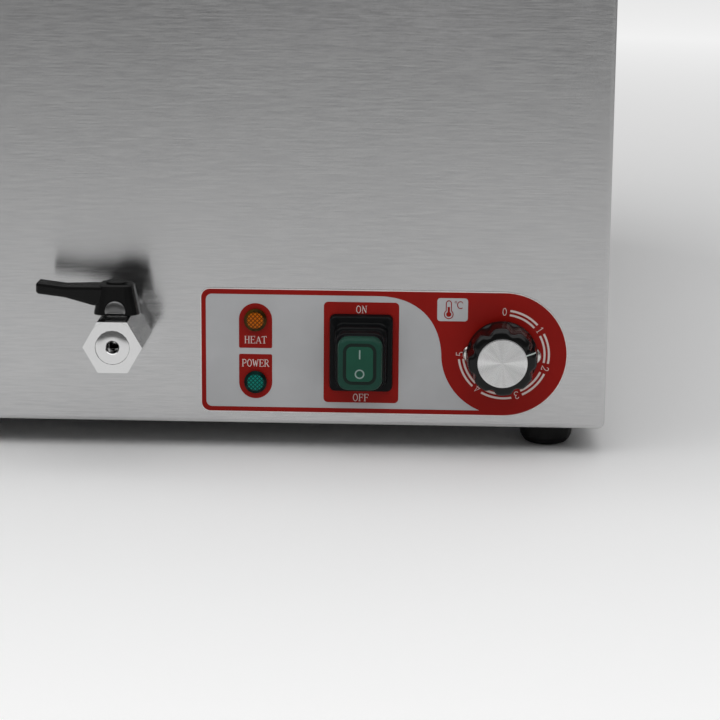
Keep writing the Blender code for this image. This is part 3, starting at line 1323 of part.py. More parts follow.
def terminal_block():
    """A row of poles on the base plate, each open at the top."""
    half = TERMINAL_WIDTH / 2
    high = TERMINAL_LEVEL + TERMINAL_HEIGHT
    mesh = bmesh.new()
    block(mesh, place(TERMINAL_X - half, TERMINAL_Y, TERMINAL_LEVEL),
          place(TERMINAL_X + half, TERMINAL_Y + TERMINAL_DEPTH, high))
    made = piece(mesh, "terminal_block", white_plastic(), place(TERMINAL_X, TERMINAL_Y, high))
    poles = bmesh.new()
    pitch = TERMINAL_WIDTH / TERMINAL_POLES
    for index in range(TERMINAL_POLES):
        across = TERMINAL_X - TERMINAL_WIDTH / 2 + pitch / 2 + pitch * index
        hole(poles, place(across, TERMINAL_Y + TERMINAL_DEPTH / 2, high - TERMINAL_POLE_DEPTH),
             TERMINAL_POLE_RADIUS, TERMINAL_POLE_DEPTH + OVERRUN, UPWARD, ROUND_SIDES // 2)
    cut(made, poles, "poles")


def cable_gland():
    """Thread, hexagon and tapered cap round an open bore, through the rear panel."""
    middle = (GLAND_X, CASE_FLOOR + GLAND_RISE)
    thread = circle(GLAND_THREAD_RADIUS, middle=middle)
    body = hexagon_ring(GLAND_FLATS, middle=middle)
    cap = circle(GLAND_CAP_RADIUS, middle=middle)
    lip = circle(GLAND_THREAD_RADIUS, middle=middle)
    bore = circle(GLAND_MOUTH_RADIUS, middle=middle)
    inside = CASE_DEPTH - SHEET - GLAND_INSIDE
    face = CASE_DEPTH + SEAM
    shoulder = face + GLAND_BODY
    end = CASE_DEPTH + GLAND_REACH
    mesh = bmesh.new()
    loft(mesh, [facing(thread, inside), facing(thread, face), facing(body, face),
                facing(body, shoulder), facing(cap, shoulder + SHEET),
                facing(cap, end - GLAND_MOUTH_RADIUS), facing(lip, end), facing(bore, end),
                facing(bore, inside)], closed=True)
    piece(mesh, "cable_gland", black_plastic(), place(GLAND_X, CASE_DEPTH, middle[1]))
    nut("cable_gland_locknut", GLAND_FLATS, GLAND_THREAD_RADIUS + SEAM, middle,
        CASE_DEPTH - SHEET - SEAM - GLAND_LOCKNUT_THICKNESS, GLAND_LOCKNUT_THICKNESS,
        black_plastic())


# Pans
PAN_LEVEL = DECK_TOP + SEAM
PAN_TOP = PAN_LEVEL + PAN_LIP
PAN_LOW = PAN_TOP - PAN_DEPTH
PAN_PLACES = {
    "front": WELL_MIDDLE - (PAN_LENGTH + PAN_GAP) / 2,
    "rear": WELL_MIDDLE + (PAN_LENGTH + PAN_GAP) / 2,
}


def pan(which):
    """A drawn pan: fillet at the foot, tapered walls, a flat rim with a turned-down lip."""
    middle = (0.0, FRONT + PAN_PLACES[which])

    def wall(inset, corner):
        return rounded(PAN_WIDTH - 2 * (PAN_RIM + inset), PAN_LENGTH - 2 * (PAN_RIM + inset),
                       corner, CORNER_STEPS + 1, middle)

    def rim(inset):
        return rounded(PAN_WIDTH - 2 * inset, PAN_LENGTH - 2 * inset, PAN_RIM_CORNER - inset,
                       CORNER_STEPS + 1, middle)

    outer = []
    inner = []
    for step in range(PAN_FILLET_STEPS + 1):
        angle = QUARTER * step / PAN_FILLET_STEPS
        inset = PAN_TAPER + PAN_FILLET * (1 - math.sin(angle))
        lift = PAN_FILLET * (1 - math.cos(angle))
        corner = PAN_CORNER + PAN_TAPER - inset
        outer.append(upright(wall(inset - PAN_SHEET, corner + PAN_SHEET), PAN_LOW + lift))
        inner.append(upright(wall(inset, corner), PAN_LOW + PAN_SHEET + lift))
    under = PAN_TOP - PAN_SHEET
    rings = outer + [
        upright(wall(-PAN_SHEET, PAN_CORNER + PAN_SHEET), under), upright(rim(PAN_SHEET), under),
        upright(rim(PAN_SHEET), PAN_LEVEL), upright(rim(0.0), PAN_LEVEL),
        upright(rim(0.0), under), upright(rim(PAN_SHEET / 2), PAN_TOP),
        upright(wall(0.0, PAN_CORNER), PAN_TOP),
    ] + list(reversed(inner))
    mesh = bmesh.new()
    loft(mesh, rings)
    piece(mesh, f"pan_{which}", bright_steel(), place(0.0, PAN_PLACES[which], PAN_LEVEL))


# Lids
LID_LEVEL = PAN_TOP + SEAM
LID_TOP = LID_LEVEL + LID_RISE + LID_SHEET
LID_HALF_WIDTH = PAN_WIDTH / 2 - LID_INSET
LID_HALF_LENGTH = PAN_LENGTH / 2 - LID_INSET
HINGE_LEVEL = LID_TOP + LID_SHEET
HINGE_HALF = LID_HALF_WIDTH - LID_RIM - LID_SLOPE - HINGE_MARGIN
HINGE_EDGE = HINGE_RADIUS + HINGE_GAP
KNUCKLE_LENGTH = 2 * HINGE_HALF / HINGE_KNUCKLES
HANDLE_LEVEL = LID_TOP + SEAM


def lid_shell(middle):
    """The whole lid before it is parted along the hinge: rim, sloped sides and flat top."""
    def outline(inset):
        return rounded(2 * (LID_HALF_WIDTH - inset), 2 * (LID_HALF_LENGTH - inset), LID_CORNER,
                       CORNER_STEPS, middle)

    mesh = bmesh.new()
    loft(mesh, [
        upright(outline(LID_RIM + LID_SLOPE + LID_SHEET), LID_TOP - LID_SHEET),
        upright(outline(LID_RIM + LID_SHEET), LID_LEVEL),
        upright(outline(0.0), LID_LEVEL),
        upright(outline(0.0), LID_LEVEL + LID_SHEET),
        upright(outline(LID_RIM), LID_LEVEL + LID_SHEET),
        upright(outline(LID_RIM + LID_SLOPE), LID_TOP),
    ])
    return mesh


def lid_leaf(name, which, side):
    """One leaf with its share of the knuckles: side -1 is the front flap, 1 the back leaf."""
    along = PAN_PLACES[which]
    hinge = place(0.0, along, HINGE_LEVEL)
    made = piece(lid_shell((0.0, FRONT + along)), name, bright_steel(), hinge)
    other = bmesh.new()
    near, far = sorted((side * HINGE_EDGE, -side * PAN_LENGTH))
    block(other, place(-PAN_WIDTH, along + near, LID_LEVEL - OVERRUN),
          place(PAN_WIDTH, along + far, LID_TOP + OVERRUN))
    cut(made, other, "parting")
    strap_low = LID_TOP - LID_SHEET / 2 - HINGE_LEVEL
    strap_high = strap_low + HINGE_STRAP_THICKNESS
    upper = 2 * QUARTER - math.asin(strap_high / HINGE_RADIUS)
    lower = 2 * QUARTER - math.asin(strap_low / HINGE_RADIUS)
    outline = arc((0.0, 0.0), HINGE_RADIUS, lower - math.tau, upper, HINGE_SIDES)
    reach = HINGE_EDGE + HINGE_STRAP
    outline += [(-reach, strap_high), (-reach, strap_low)]
    if side > 0:
        outline = flip(outline)
    outline = [(along + back, HINGE_LEVEL + up) for back, up in outline]
    knuckles = bmesh.new()
    for index in range(HINGE_KNUCKLES):
        if (index % 2 == 0) != (side < 0):
            continue
        start = index * KNUCKLE_LENGTH - HINGE_HALF + HINGE_KNUCKLE_GAP / 2
        end = start + KNUCKLE_LENGTH - HINGE_KNUCKLE_GAP
        loft(knuckles, [sideways(outline, start), sideways(outline, end)])
    add(made, knuckles, "knuckles")
    bore = bmesh.new()
    hole(bore, place(-HINGE_HALF - OVERRUN, along, HINGE_LEVEL), HINGE_PIN_RADIUS + HINGE_PIN_GAP,
         2 * (HINGE_HALF + OVERRUN), RIGHTWARD, HINGE_SIDES)
    cut(made, bore, "bore")


def hinge_pin(name, which):
    mesh = bmesh.new()
    along = PAN_PLACES[which]
    hole(mesh, place(-HINGE_HALF, along, HINGE_LEVEL), HINGE_PIN_RADIUS, 2 * HINGE_HALF,
         RIGHTWARD, HINGE_SIDES)
    piece(mesh, name, bright_steel(), place(0.0, along, HINGE_LEVEL))


def lid_handle(name, which):
    """A bent bar on two round feet, across the flap near its front edge."""
    along = PAN_PLACES[which] - LID_HALF_LENGTH + HANDLE_EDGE
    half = HANDLE_SPAN / 2
    high = HANDLE_LEVEL + HANDLE_RISE - HANDLE_RADIUS
    bend = high - HANDLE_BEND
    path = [(-half, HANDLE_LEVEL + HANDLE_FOOT_THICKNESS / 2)]
    path += arc((HANDLE_BEND - half, bend), HANDLE_BEND, 2 * QUARTER, QUARTER, CORNER_STEPS + 1)
    path += arc((half - HANDLE_BEND, bend), HANDLE_BEND, QUARTER, 0.0, CORNER_STEPS + 1)
    path.append((half, HANDLE_LEVEL + HANDLE_FOOT_THICKNESS / 2))
    mesh = bmesh.new()
    tube(mesh, [place(across, along, up) for across, up in path], HANDLE_RADIUS,
         Vector(BACKWARD))
    made = piece(mesh, name, bright_steel(), place(0.0, along, HANDLE_LEVEL))
    feet = bmesh.new()
    for side in (-1, 1):
        hole(feet, place(side * half, along, HANDLE_LEVEL), HANDLE_FOOT_RADIUS,
             HANDLE_FOOT_THICKNESS, UPWARD)
    add(made, feet, "feet")


def build():
    for old in list(bpy.data.objects):
        bpy.data.objects.remove(old)
    front_panel()
    rear_panel()
    side_panel("side_panel_left", -1)
    side_panel("side_panel_right", 1)
    base_plate()
    top_deck()
    water_tank()
    for corner in FOOT_PLACES:
        foot(corner)
        foot_screw(corner)
    control_overlay()
    lamp_body("heat_lamp_body", LAMP_RISE)
    lamp_lens("heat_lamp_lens", LAMP_RISE, amber_lens())
    lamp_body("power_lamp_body", -LAMP_RISE)
    lamp_lens("power_lamp_lens", -LAMP_RISE, green_lens())
    thermostat_body()
    thermostat_spindle()
    thermostat_screw("thermostat_screw_left", -1)
    thermostat_screw("thermostat_screw_right", 1)
    control_knob()
    knob_cap()
    switch_body()
    switch_rocker()
    switch_boot()
    tap_body()
    tap_ball()
    tap_stem()
    tap_lever()
    lever_nut()
    tap_fixings()
    heating_element()
    element_glands()
    element_clip()
    thermostat_bulb()
    bulb_gland()
    overheat_cutout()
    terminal_block()
    cable_gland()
    for which in PAN_PLACES:
        pan(which)
        lid_leaf(f"lid_{which}_flap", which, -1)
        lid_leaf(f"lid_{which}_back_leaf", which, 1)
        hinge_pin(f"lid_{which}_hinge_pin", which)
        lid_handle(f"lid_{which}_handle", which)
    bpy.context.view_layer.update()


build()
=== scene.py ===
"""Dresses the electric bain-marie: its materials, the print on the control film, the switch boot,
the knob, the tap's trim, and the studio with floor, lamps and camera.

Lengths are in metres in the model's own frame: +X right, +Y to the rear, +Z up.
"""
import json
import math
import bmesh
import bpy
from mathutils import Matrix, Vector


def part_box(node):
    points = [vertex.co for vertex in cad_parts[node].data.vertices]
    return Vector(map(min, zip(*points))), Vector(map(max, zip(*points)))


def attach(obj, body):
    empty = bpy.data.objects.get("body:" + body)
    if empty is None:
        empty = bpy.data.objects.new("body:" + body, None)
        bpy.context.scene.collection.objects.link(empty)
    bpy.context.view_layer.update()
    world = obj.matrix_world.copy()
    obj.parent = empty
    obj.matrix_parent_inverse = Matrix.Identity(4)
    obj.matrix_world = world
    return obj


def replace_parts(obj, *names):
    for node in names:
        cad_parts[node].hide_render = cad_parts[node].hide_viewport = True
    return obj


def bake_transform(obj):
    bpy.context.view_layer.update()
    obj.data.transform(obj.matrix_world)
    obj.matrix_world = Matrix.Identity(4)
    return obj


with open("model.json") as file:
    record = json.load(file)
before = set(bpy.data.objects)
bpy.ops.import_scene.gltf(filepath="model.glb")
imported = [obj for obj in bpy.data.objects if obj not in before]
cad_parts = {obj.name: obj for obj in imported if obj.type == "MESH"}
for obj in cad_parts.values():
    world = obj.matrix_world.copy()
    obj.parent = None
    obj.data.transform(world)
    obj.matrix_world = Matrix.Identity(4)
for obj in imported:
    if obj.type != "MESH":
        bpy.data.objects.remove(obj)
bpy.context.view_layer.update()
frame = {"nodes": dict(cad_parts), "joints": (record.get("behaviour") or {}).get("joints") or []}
QUARTER = math.pi / 2

# Places taken from the frame: the film, the dial's centre at the panel, the knob and the tap
FILM_LOW, FILM_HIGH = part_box("control_overlay")
FACE = FILM_LOW.y
FILM_RADIUS = (FILM_HIGH.z - FILM_LOW.z) / 2
DIAL_PLACE = Vector((FILM_HIGH.x - FILM_RADIUS, FILM_HIGH.y, FILM_LOW.z + FILM_RADIUS))
KNOB_LOW, KNOB_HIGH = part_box("control_knob")
KNOB_AXIS = Vector(((KNOB_LOW.x + KNOB_HIGH.x) / 2, KNOB_LOW.y, (KNOB_LOW.z + KNOB_HIGH.z) / 2))
TAP_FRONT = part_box("tap_body")[0].y
TAP_AXIS = Vector(next(joint["pos_m"] for joint in frame["joints"] if joint["name"] == "tap_turn"))

# Printed film, measured from the dial's centre; rectangles are left, right, low and high
FILM_MARGIN = 0.00045
FILM_CORNER = 0.0045
CORNER_STEPS = 6
HALF_CIRCLE_STEPS = 40
BORDER_LEFT = -0.13794
BORDER_TOP = 0.02663
BORDER_BOTTOM = -0.02678
BORDER_CORNER = 0.0027
SWEEP_RADIUS = 0.0289
SWEEP = ((-0.0580, BORDER_TOP), (-0.0410, BORDER_TOP), (-0.0299, 0.0165), (-SWEEP_RADIUS, 0.0))
SWEEP_STEPS = 20

LAMP_X = -0.1149
LAMP_RISE = 0.0147
LAMP_HOLE_RADIUS = 0.0050
TAB_WIDTH = 0.0154
TAB_CORNER = 0.0007
TAB_STEPS = 12
HEAT_TAB_LOW = 0.0013
HEAT_TAB_HIGH = 0.0225
POWER_TAB_LOW = -0.0227
POWER_TAB_HIGH = -0.0016

SWITCH_X = -0.0659
SWITCH_Z = 0.0003
SWITCH_HOLE_WIDTH = 0.0245
SWITCH_HOLE_HEIGHT = 0.0308
SWITCH_FRAME = (-0.0833, -0.0485, -0.0240, 0.0237)
SWITCH_FRAME_CORNER = 0.0020

ICON_PLATE = (-0.0310, -0.0169, 0.0154, 0.0262)
ICON_CORNER = 0.0014
ICON_LINE = 0.00043
THERMOMETER_X = -0.0257
THERMOMETER_LOW = 0.0164
THERMOMETER_HIGH = 0.0252
THERMOMETER_STEPS = 24
BULB_RADIUS = 0.00222
STEM_RADIUS = 0.0014
STEM_STEPS = 10
MERCURY_INSET = 0.001032
MERCURY_STEM = 0.00055
MERCURY_HIGH = 0.0221
MERCURY_STEPS = 20
CELSIUS_X = -0.02045
CELSIUS_FOOT = 0.0213
CELSIUS_WIDTH = 0.0033
CELSIUS_HEIGHT = 0.0035
DEGREE_PLACE = (-0.0225, 0.0244)
DEGREE_RADIUS = 0.00045
DEGREE_LINE = 0.0002
DEGREE_STEPS = 16

# Each word's middle, foot and width
WORD_HEIGHT = 0.0035
WORDS = {
    "HEAT": (LAMP_X, 0.00345, 0.0106),
    "POWER": (LAMP_X, -0.0076, 0.0129),
    "ON": (SWITCH_X, 0.01855, 0.0053),
    "OFF": (-0.0660, -0.02325, 0.0076),
}

DIGITS = 6
DIGIT_TURN = math.radians(54)
DIGIT_RADIUS = 0.0202
DIGIT_HEIGHT = 0.0036
DIGIT_WIDTH = 0.0022
ARC_RADII = (0.0208, 0.0188)
ARC_WIDTH = 0.00095
ARC_START = math.radians(7.2)
ARC_END = math.radians(47)
ARC_STEPS = 16
SPINDLE_HOLE_RADIUS = 0.0058
SCREW_OFFSET = 0.014
SCREW_HOLE_RADIUS = 0.0024
SCREW_HOLE_STEPS = 20

# Ink: its thickness, the step from layer to layer, and the layers counted out from the film
INK = 0.00003
INK_STEP = 0.00005
BASE_LAYER = 0
FIELD_LAYER = 1
TAB_LAYER = 2
LETTER_LIFT = 1.4


# Node materials; a colour mix has its colours and its result at these sockets
MIX_FIRST = 6
MIX_SECOND = 7
MIX_RESULT = 2


class Finish:
    """A principled material with short calls for the nodes that vary it."""

    def __init__(self, name, colour, roughness, metallic=0.0, **sockets):
        self.material = bpy.data.materials.new(name)
        self.material.use_nodes = True
        self.nodes = self.material.node_tree.nodes
        self.links = self.material.node_tree.links
        self.shader = self.nodes["Principled BSDF"]
        self.shader.inputs["Base Color"].default_value = (*colour, 1.0)
        self.shader.inputs["Roughness"].default_value = roughness
        self.shader.inputs["Metallic"].default_value = metallic
        for socket, value in sockets.items():
            self.shader.inputs[socket.replace("_", " ")].default_value = value
        self.place = self.nodes.new("ShaderNodeTexCoord").outputs["Object"]

    def mapped(self, scale, location=(0.0, 0.0, 0.0)):
        node = self.nodes.new("ShaderNodeMapping")
        node.inputs["Location"].default_value = location
        node.inputs["Scale"].default_value = scale
        self.links.new(self.place, node.inputs["Vector"])
        return node.outputs["Vector"]

    def noise(self, vector, detail=3.0):
        node = self.nodes.new("ShaderNodeTexNoise")
        node.inputs["Scale"].default_value = 1.0
        node.inputs["Detail"].default_value = detail
        self.links.new(vector, node.inputs["Vector"])
        return node.outputs["Fac"]

    def even_noise(self, frequency, detail=3.0):
        return self.noise(self.mapped((frequency,) * 3), detail)

    def math(self, operation, first, second=0.0, third=None):
        node = self.nodes.new("ShaderNodeMath")
        node.operation = operation
        for socket, value in zip(node.inputs, (first, second, third)):
            if isinstance(value, (int, float)):
                socket.default_value = value
            elif value is not None:
                self.links.new(value, socket)
        return node.outputs[0]

    def split(self, vector):
        node = self.nodes.new("ShaderNodeSeparateXYZ")
        self.links.new(vector, node.inputs["Vector"])
        return [node.outputs[axis] for axis in "XYZ"]

    def distance(self, first, second):
        """How far a point lies from an axis, by its two distances across."""
        squares = [self.math("MULTIPLY", value, value) for value in (first, second)]
        return self.math("SQRT", self.math("ADD", *squares))

    def ramp(self, value, low, high, start, end):
        node = self.nodes.new("ShaderNodeMapRange")
        for socket, number in zip(node.inputs[1:5], (low, high, start, end)):
            socket.default_value = number
        self.links.new(value, node.inputs["Value"])
        return node.outputs["Result"]

    def blend(self, factor, first, second):
        node = self.nodes.new("ShaderNodeMix")
        node.data_type = "RGBA"
        self.links.new(factor, node.inputs["Factor"])
        for index, colour in ((MIX_FIRST, first), (MIX_SECOND, second)):
            if isinstance(colour, tuple):
                node.inputs[index].default_value = (*colour, 1.0)
            else:
                self.links.new(colour, node.inputs[index])
        return node.outputs[MIX_RESULT]

    def grain(self, axis):
        """The direction that the scratches run in, for the stretched reflections."""
        node = self.nodes.new("ShaderNodeCombineXYZ")
        node.inputs["XYZ".index(axis)].default_value = 1.0
        self.links.new(node.outputs["Vector"], self.shader.inputs["Tangent"])

    def colour(self, output):
        self.links.new(output, self.shader.inputs["Base Color"])

    def roughness(self, output):
        self.links.new(output, self.shader.inputs["Roughness"])

    def bump(self, height, depth, strength):
        node = self.nodes.new("ShaderNodeBump")
        node.inputs["Strength"].default_value = strength
        node.inputs["Distance"].default_value = depth
        self.links.new(height, node.inputs["Height"])
        self.links.new(node.outputs["Normal"], self.shader.inputs["Normal"])


def shaded(colour, share):
    """The colour made darker or lighter by a share, no channel above 1."""
    return tuple(min(1.0, part * share) for part in colour)


# Brushed sheet: two noises, stretched along the grain, and a soft mottle in the gloss
ANISOTROPY = 0.9
ANISOTROPY_TURN = 0.25
SCRATCH = (70.0, 1800.0)
HAIRLINE = (200.0, 4800.0)
MOTTLE = 9.0
SCRATCH_SHARE = 0.6
GLOSS_SCRATCH_SHARE = 0.7
STREAK_RANGE = (0.40, 0.60)
GLOSS_RANGE = (0.35, 0.65)
COOL_SHADE = 1.01
RELIEF = 0.00002


def stretched(made, grain, frequencies, detail):
    """Noise with one frequency along the grain and another across it."""
    along, across = frequencies
    scale = tuple(along if axis == grain else across for axis in "XYZ")
    return made.noise(made.mapped(scale), detail)


def brushed(name, grain, tone, spread, rough):
    """Sheet steel with long scratches along one axis, uneven in tone, gloss and relief."""
    made = Finish(name, (tone,) * 3, sum(rough) / 2, 1.0, Anisotropic=ANISOTROPY,
                  Anisotropic_Rotation=ANISOTROPY_TURN)
    made.grain(grain)
    coarse = stretched(made, grain, SCRATCH, detail=4.0)
    fine = stretched(made, grain, HAIRLINE, detail=2.0)
    mottle = made.even_noise(MOTTLE, detail=2.0)
    both = made.math("MULTIPLY_ADD", coarse, SCRATCH_SHARE,
                     made.math("MULTIPLY", fine, 1 - SCRATCH_SHARE))
    low, high = tone * (1 - spread), tone * (1 + spread)
    streaks = made.ramp(both, *STREAK_RANGE, 0.0, 1.0)
    made.colour(made.blend(streaks, (low, low, low * COOL_SHADE), (high, high, high)))
    gloss = made.math("MULTIPLY_ADD", both, GLOSS_SCRATCH_SHARE,
                      made.math("MULTIPLY", mottle, 1 - GLOSS_SCRATCH_SHARE))
    made.roughness(made.ramp(gloss, *GLOSS_RANGE, *rough))
    made.bump(both, RELIEF, strength=0.35)
    return made


# Satin metal and mouldings: a fine grit in the relief and a soft cloud in tone and gloss
CLOUD_RANGE = (0.35, 0.65)
WEAR_RANGE = (0.30, 0.70)
METAL_CLOUD = 14.0
METAL_GRIT_IN_GLOSS = 0.12
METAL_GLOSS_DROP = (0.09, 0.02)
PLASTIC_CLOUD = 60.0
PLASTIC_WEAR = 0.12


def satin_metal(name, colour, rough, grit=1400.0, spread=0.06):
    """Rolled or cast metal with a fine even grain and faint cloudy wear."""
    made = Finish(name, colour, rough, 1.0)
    texture = made.even_noise(grit)
    cloud = made.even_noise(METAL_CLOUD)
    made.colour(made.blend(made.ramp(cloud, *CLOUD_RANGE, 0.0, 1.0), shaded(colour, 1 - spread),
                           shaded(colour, 1 + spread)))
    wear = made.ramp(cloud, *WEAR_RANGE, *(rough - drop for drop in METAL_GLOSS_DROP))
    made.roughness(made.math("MULTIPLY_ADD", texture, METAL_GRIT_IN_GLOSS, wear))
    made.bump(texture, RELIEF, strength=0.3)
    return made


def moulded(name, colour, rough, grit=2200.0, depth=0.00002, spread=0.12, gloss=0.5):
    """Plastic or rubber with a fine moulded texture and slight wear in gloss."""
    made = Finish(name, colour, rough, 0.0, Specular_IOR_Level=gloss)
    texture = made.even_noise(grit)
    cloud = made.even_noise(PLASTIC_CLOUD)
    made.colour(made.blend(made.ramp(cloud, *CLOUD_RANGE, 0.0, 1.0), shaded(colour, 1 - spread),
                           shaded(colour, 1 + spread)))
    made.roughness(made.ramp(cloud, *WEAR_RANGE, rough * (1 - PLASTIC_WEAR),
                             min(1.0, rough * (1 + PLASTIC_WEAR))))
    made.bump(texture, depth, strength=0.4)
    return made


def ink(name, colour, rough, gloss=0.5, spread=0.03):
    """Printed or filled-in colour: smooth and nearly even."""
    return moulded(name, colour, rough, grit=1500.0, depth=0.00001, spread=spread, gloss=gloss)


def boot_rubber(name, colour, rough, gloss, spread=0.08):
    return moulded(name, colour, rough, grit=1200.0, depth=0.00001, spread=spread, gloss=gloss)


# Turned metal: rings about the axis, uneven rays of painted reflection and a painted highlight
# (glint) to the left and right, darker elsewhere as painted shade; a pitch is in radians per metre
RING_PITCH = 9000.0
RING_RELIEF = 0.000003
RING_WEAR = 0.15
RAY_COUNT = 2.8
RAY_SEED = 3.7
RAY_RANGE = (0.40, 0.62)
GLINT_POWER = 30.0
PAINTED_GLINT_SHARE = 0.62
PAINTED_RAY_SHARE = 0.33
RING_SHARE = 0.05
PAINTED_SHADE_SHARE = 0.68


def turned(name, colour, rough, centre):
    """Lathe-turned metal that faces the front: fine rings, rays of painted reflection that fan out
    from the axis, and a painted highlight to the left and right.
    """
    made = Finish(name, colour, rough, 1.0)
    x, _, z = made.split(made.mapped((1.0,) * 3, tuple(-centre)))
    radius = made.distance(x, z)
    rings = made.math("SINE", made.math("MULTIPLY", radius, RING_PITCH))
    side = made.math("DIVIDE", x, radius)
    height = made.math("DIVIDE", z, radius)
    fan = made.nodes.new("ShaderNodeCombineXYZ")
    made.links.new(made.math("MULTIPLY", side, RAY_COUNT), fan.inputs[0])
    made.links.new(made.math("MULTIPLY", height, RAY_COUNT), fan.inputs[1])
    fan.inputs[2].default_value = RAY_SEED
    # painted highlight and painted reflection: the colour runs from a darkened copy, where neither
    # falls, to the full colour in the glint and the rays
    rays = made.ramp(made.noise(fan.outputs["Vector"]), *RAY_RANGE, 0.0, 1.0)
    glint = made.math("POWER", made.math("MULTIPLY", side, side), GLINT_POWER)
    tone = made.math("MULTIPLY_ADD", glint, PAINTED_GLINT_SHARE, made.math("MULTIPLY", rays, PAINTED_RAY_SHARE))
    tone = made.math("MULTIPLY_ADD", made.ramp(rings, -1.0, 1.0, 0.0, 1.0), RING_SHARE, tone)
    made.colour(made.blend(tone, shaded(colour, PAINTED_SHADE_SHARE), colour))
    made.roughness(made.ramp(rings, -1.0, 1.0, rough * (1 - RING_WEAR), rough * (1 + RING_WEAR)))
    made.bump(rings, RING_RELIEF, strength=0.3)
    return made


# Lamp lens: a disc of diamond prisms, with painted shade in the grooves between them, within a
# dark, patchy rim
LENS_ROUGHNESS = 0.22
LENS_GLOSS = 0.1
LENS_DISC_RADIUS = 0.0040
LENS_EDGE = 0.0005
PRISM_PITCH = 1600.0
PRISM_RANGE = (0.22, 0.75)
PRISM_SHADE = 0.22
PRISM_RELIEF = 0.00012
RIM_PATCH = 260.0
RIM_PATCH_RANGE = (0.40, 0.62)
RIM_SHADE = 0.30


def lens(name, colour, dark, centre):
    """A moulded lamp lens: an uneven dark rim round a disc of small diamond prisms, whose grooves
    are darkened as painted shade.
    """
    made = Finish(name, colour, LENS_ROUGHNESS, 0.0, Specular_IOR_Level=LENS_GLOSS)
    x, _, z = made.split(made.mapped((1.0,) * 3, tuple(-centre)))
    inside = made.ramp(made.distance(x, z), LENS_DISC_RADIUS - LENS_EDGE, LENS_DISC_RADIUS,
                       1.0, 0.0)
    waves = [made.math("SINE", made.math("MULTIPLY", made.math(slope, x, z), PRISM_PITCH))
             for slope in ("ADD", "SUBTRACT")]
    grooves = made.math("MINIMUM", *(made.math("ABSOLUTE", wave) for wave in waves))
    prisms = made.ramp(grooves, *PRISM_RANGE, 0.0, 1.0)
    # painted shade: the colour is darkened in the grooves between the prisms
    disc = made.blend(prisms, shaded(colour, PRISM_SHADE), colour)
    patches = made.ramp(made.even_noise(RIM_PATCH, detail=2.0), *RIM_PATCH_RANGE, 0.0, 1.0)
    rim = made.blend(patches, shaded(dark, RIM_SHADE), dark)
    made.colour(made.blend(inside, rim, disc))
    made.bump(made.math("MULTIPLY", prisms, inside), PRISM_RELIEF, strength=0.6)
    return made


# Shapes
SHARP_ANGLE = math.radians(38)
ROUND_STEPS = 48
OPEN = (False, False)
END_CLOSED = (False, True)
CLOSED = (True, True)


def shown(mesh, name, finish, smooth=True, body="case"):
    """Shows the mesh with its finish, riding on a body where one is named."""
    data = mesh
    if isinstance(mesh, bmesh.types.BMesh):
        bmesh.ops.recalc_face_normals(mesh, faces=mesh.faces)
        data = bpy.data.meshes.new(name)
        mesh.to_mesh(data)
        mesh.free()
    for face in data.polygons:
        face.use_smooth = smooth
    if smooth:
        data.set_sharp_from_angle(angle=SHARP_ANGLE)
    data.materials.clear()
    data.materials.append(finish.material)
    made = bpy.data.objects.new(name, data)
    bpy.context.scene.collection.objects.link(made)
    if body:
        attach(made, body)
    return made


def loft(rings, ends):
    """Skins closed rings of points one after another and closes the ends that are asked for."""
    mesh = bmesh.new()
    made = [[mesh.verts.new(point) for point in points] for points in rings]
    for first, second in zip(made, made[1:]):
        for index, vert in enumerate(first):
            after = (index + 1) % len(first)
            mesh.faces.new((vert, first[after], second[after], second[index]))
    for points, closed in zip((made[0], made[-1]), ends):
        if closed:
            mesh.faces.new(points)
    return mesh


def oval(x, z, across, up, start=0.0, end=math.tau, steps=24):
    return [(x + across * math.cos(start + (end - start) * step / steps),
             z + up * math.sin(start + (end - start) * step / steps)) for step in range(steps + 1)]


def arc(middle, radius, start, end, steps):
    return oval(*middle, radius, radius, start, end, steps)


def ring(radius, middle=(0.0, 0.0), steps=ROUND_STEPS):
    return arc(middle, radius, 0.0, math.tau * (steps - 1) / steps, steps - 1)


def rounded(left, right, low, high, radius, steps=CORNER_STEPS):
    """A rectangle with one corner radius, or four counted anticlockwise from the top right."""
    radii = radius if isinstance(radius, tuple) else (radius,) * 4
    corners = ((right, high, -1, -1), (left, high, 1, -1), (left, low, 1, 1), (right, low, -1, 1))
    outline = []
    for index, ((x, z, inward_x, inward_z), bend) in enumerate(zip(corners, radii)):
        middle = (x + inward_x * bend, z + inward_z * bend)
        outline += arc(middle, bend, QUARTER * index, QUARTER * (index + 1), steps)
    return outline


def facing(outline, y):
    """An outline seen from the front, set at a depth."""
    return [Vector((x, y, z)) for x, z in outline]


def bezier(points, steps):
    start, first, second, end = (Vector(point) for point in points)
    curve = []
    for step in range(steps + 1):
        along = step / steps
        left = 1 - along
        curve.append(tuple(start * left ** 3 + first * 3 * left * left * along
                           + second * 3 * left * along * along + end * along ** 3))
    return curve


# A ribbon of ink: how sharp a mitre may be, and how near its ends, by its width, make it a loop
MITRE_LIMIT = 0.5
LOOP_SHARE = 0.05


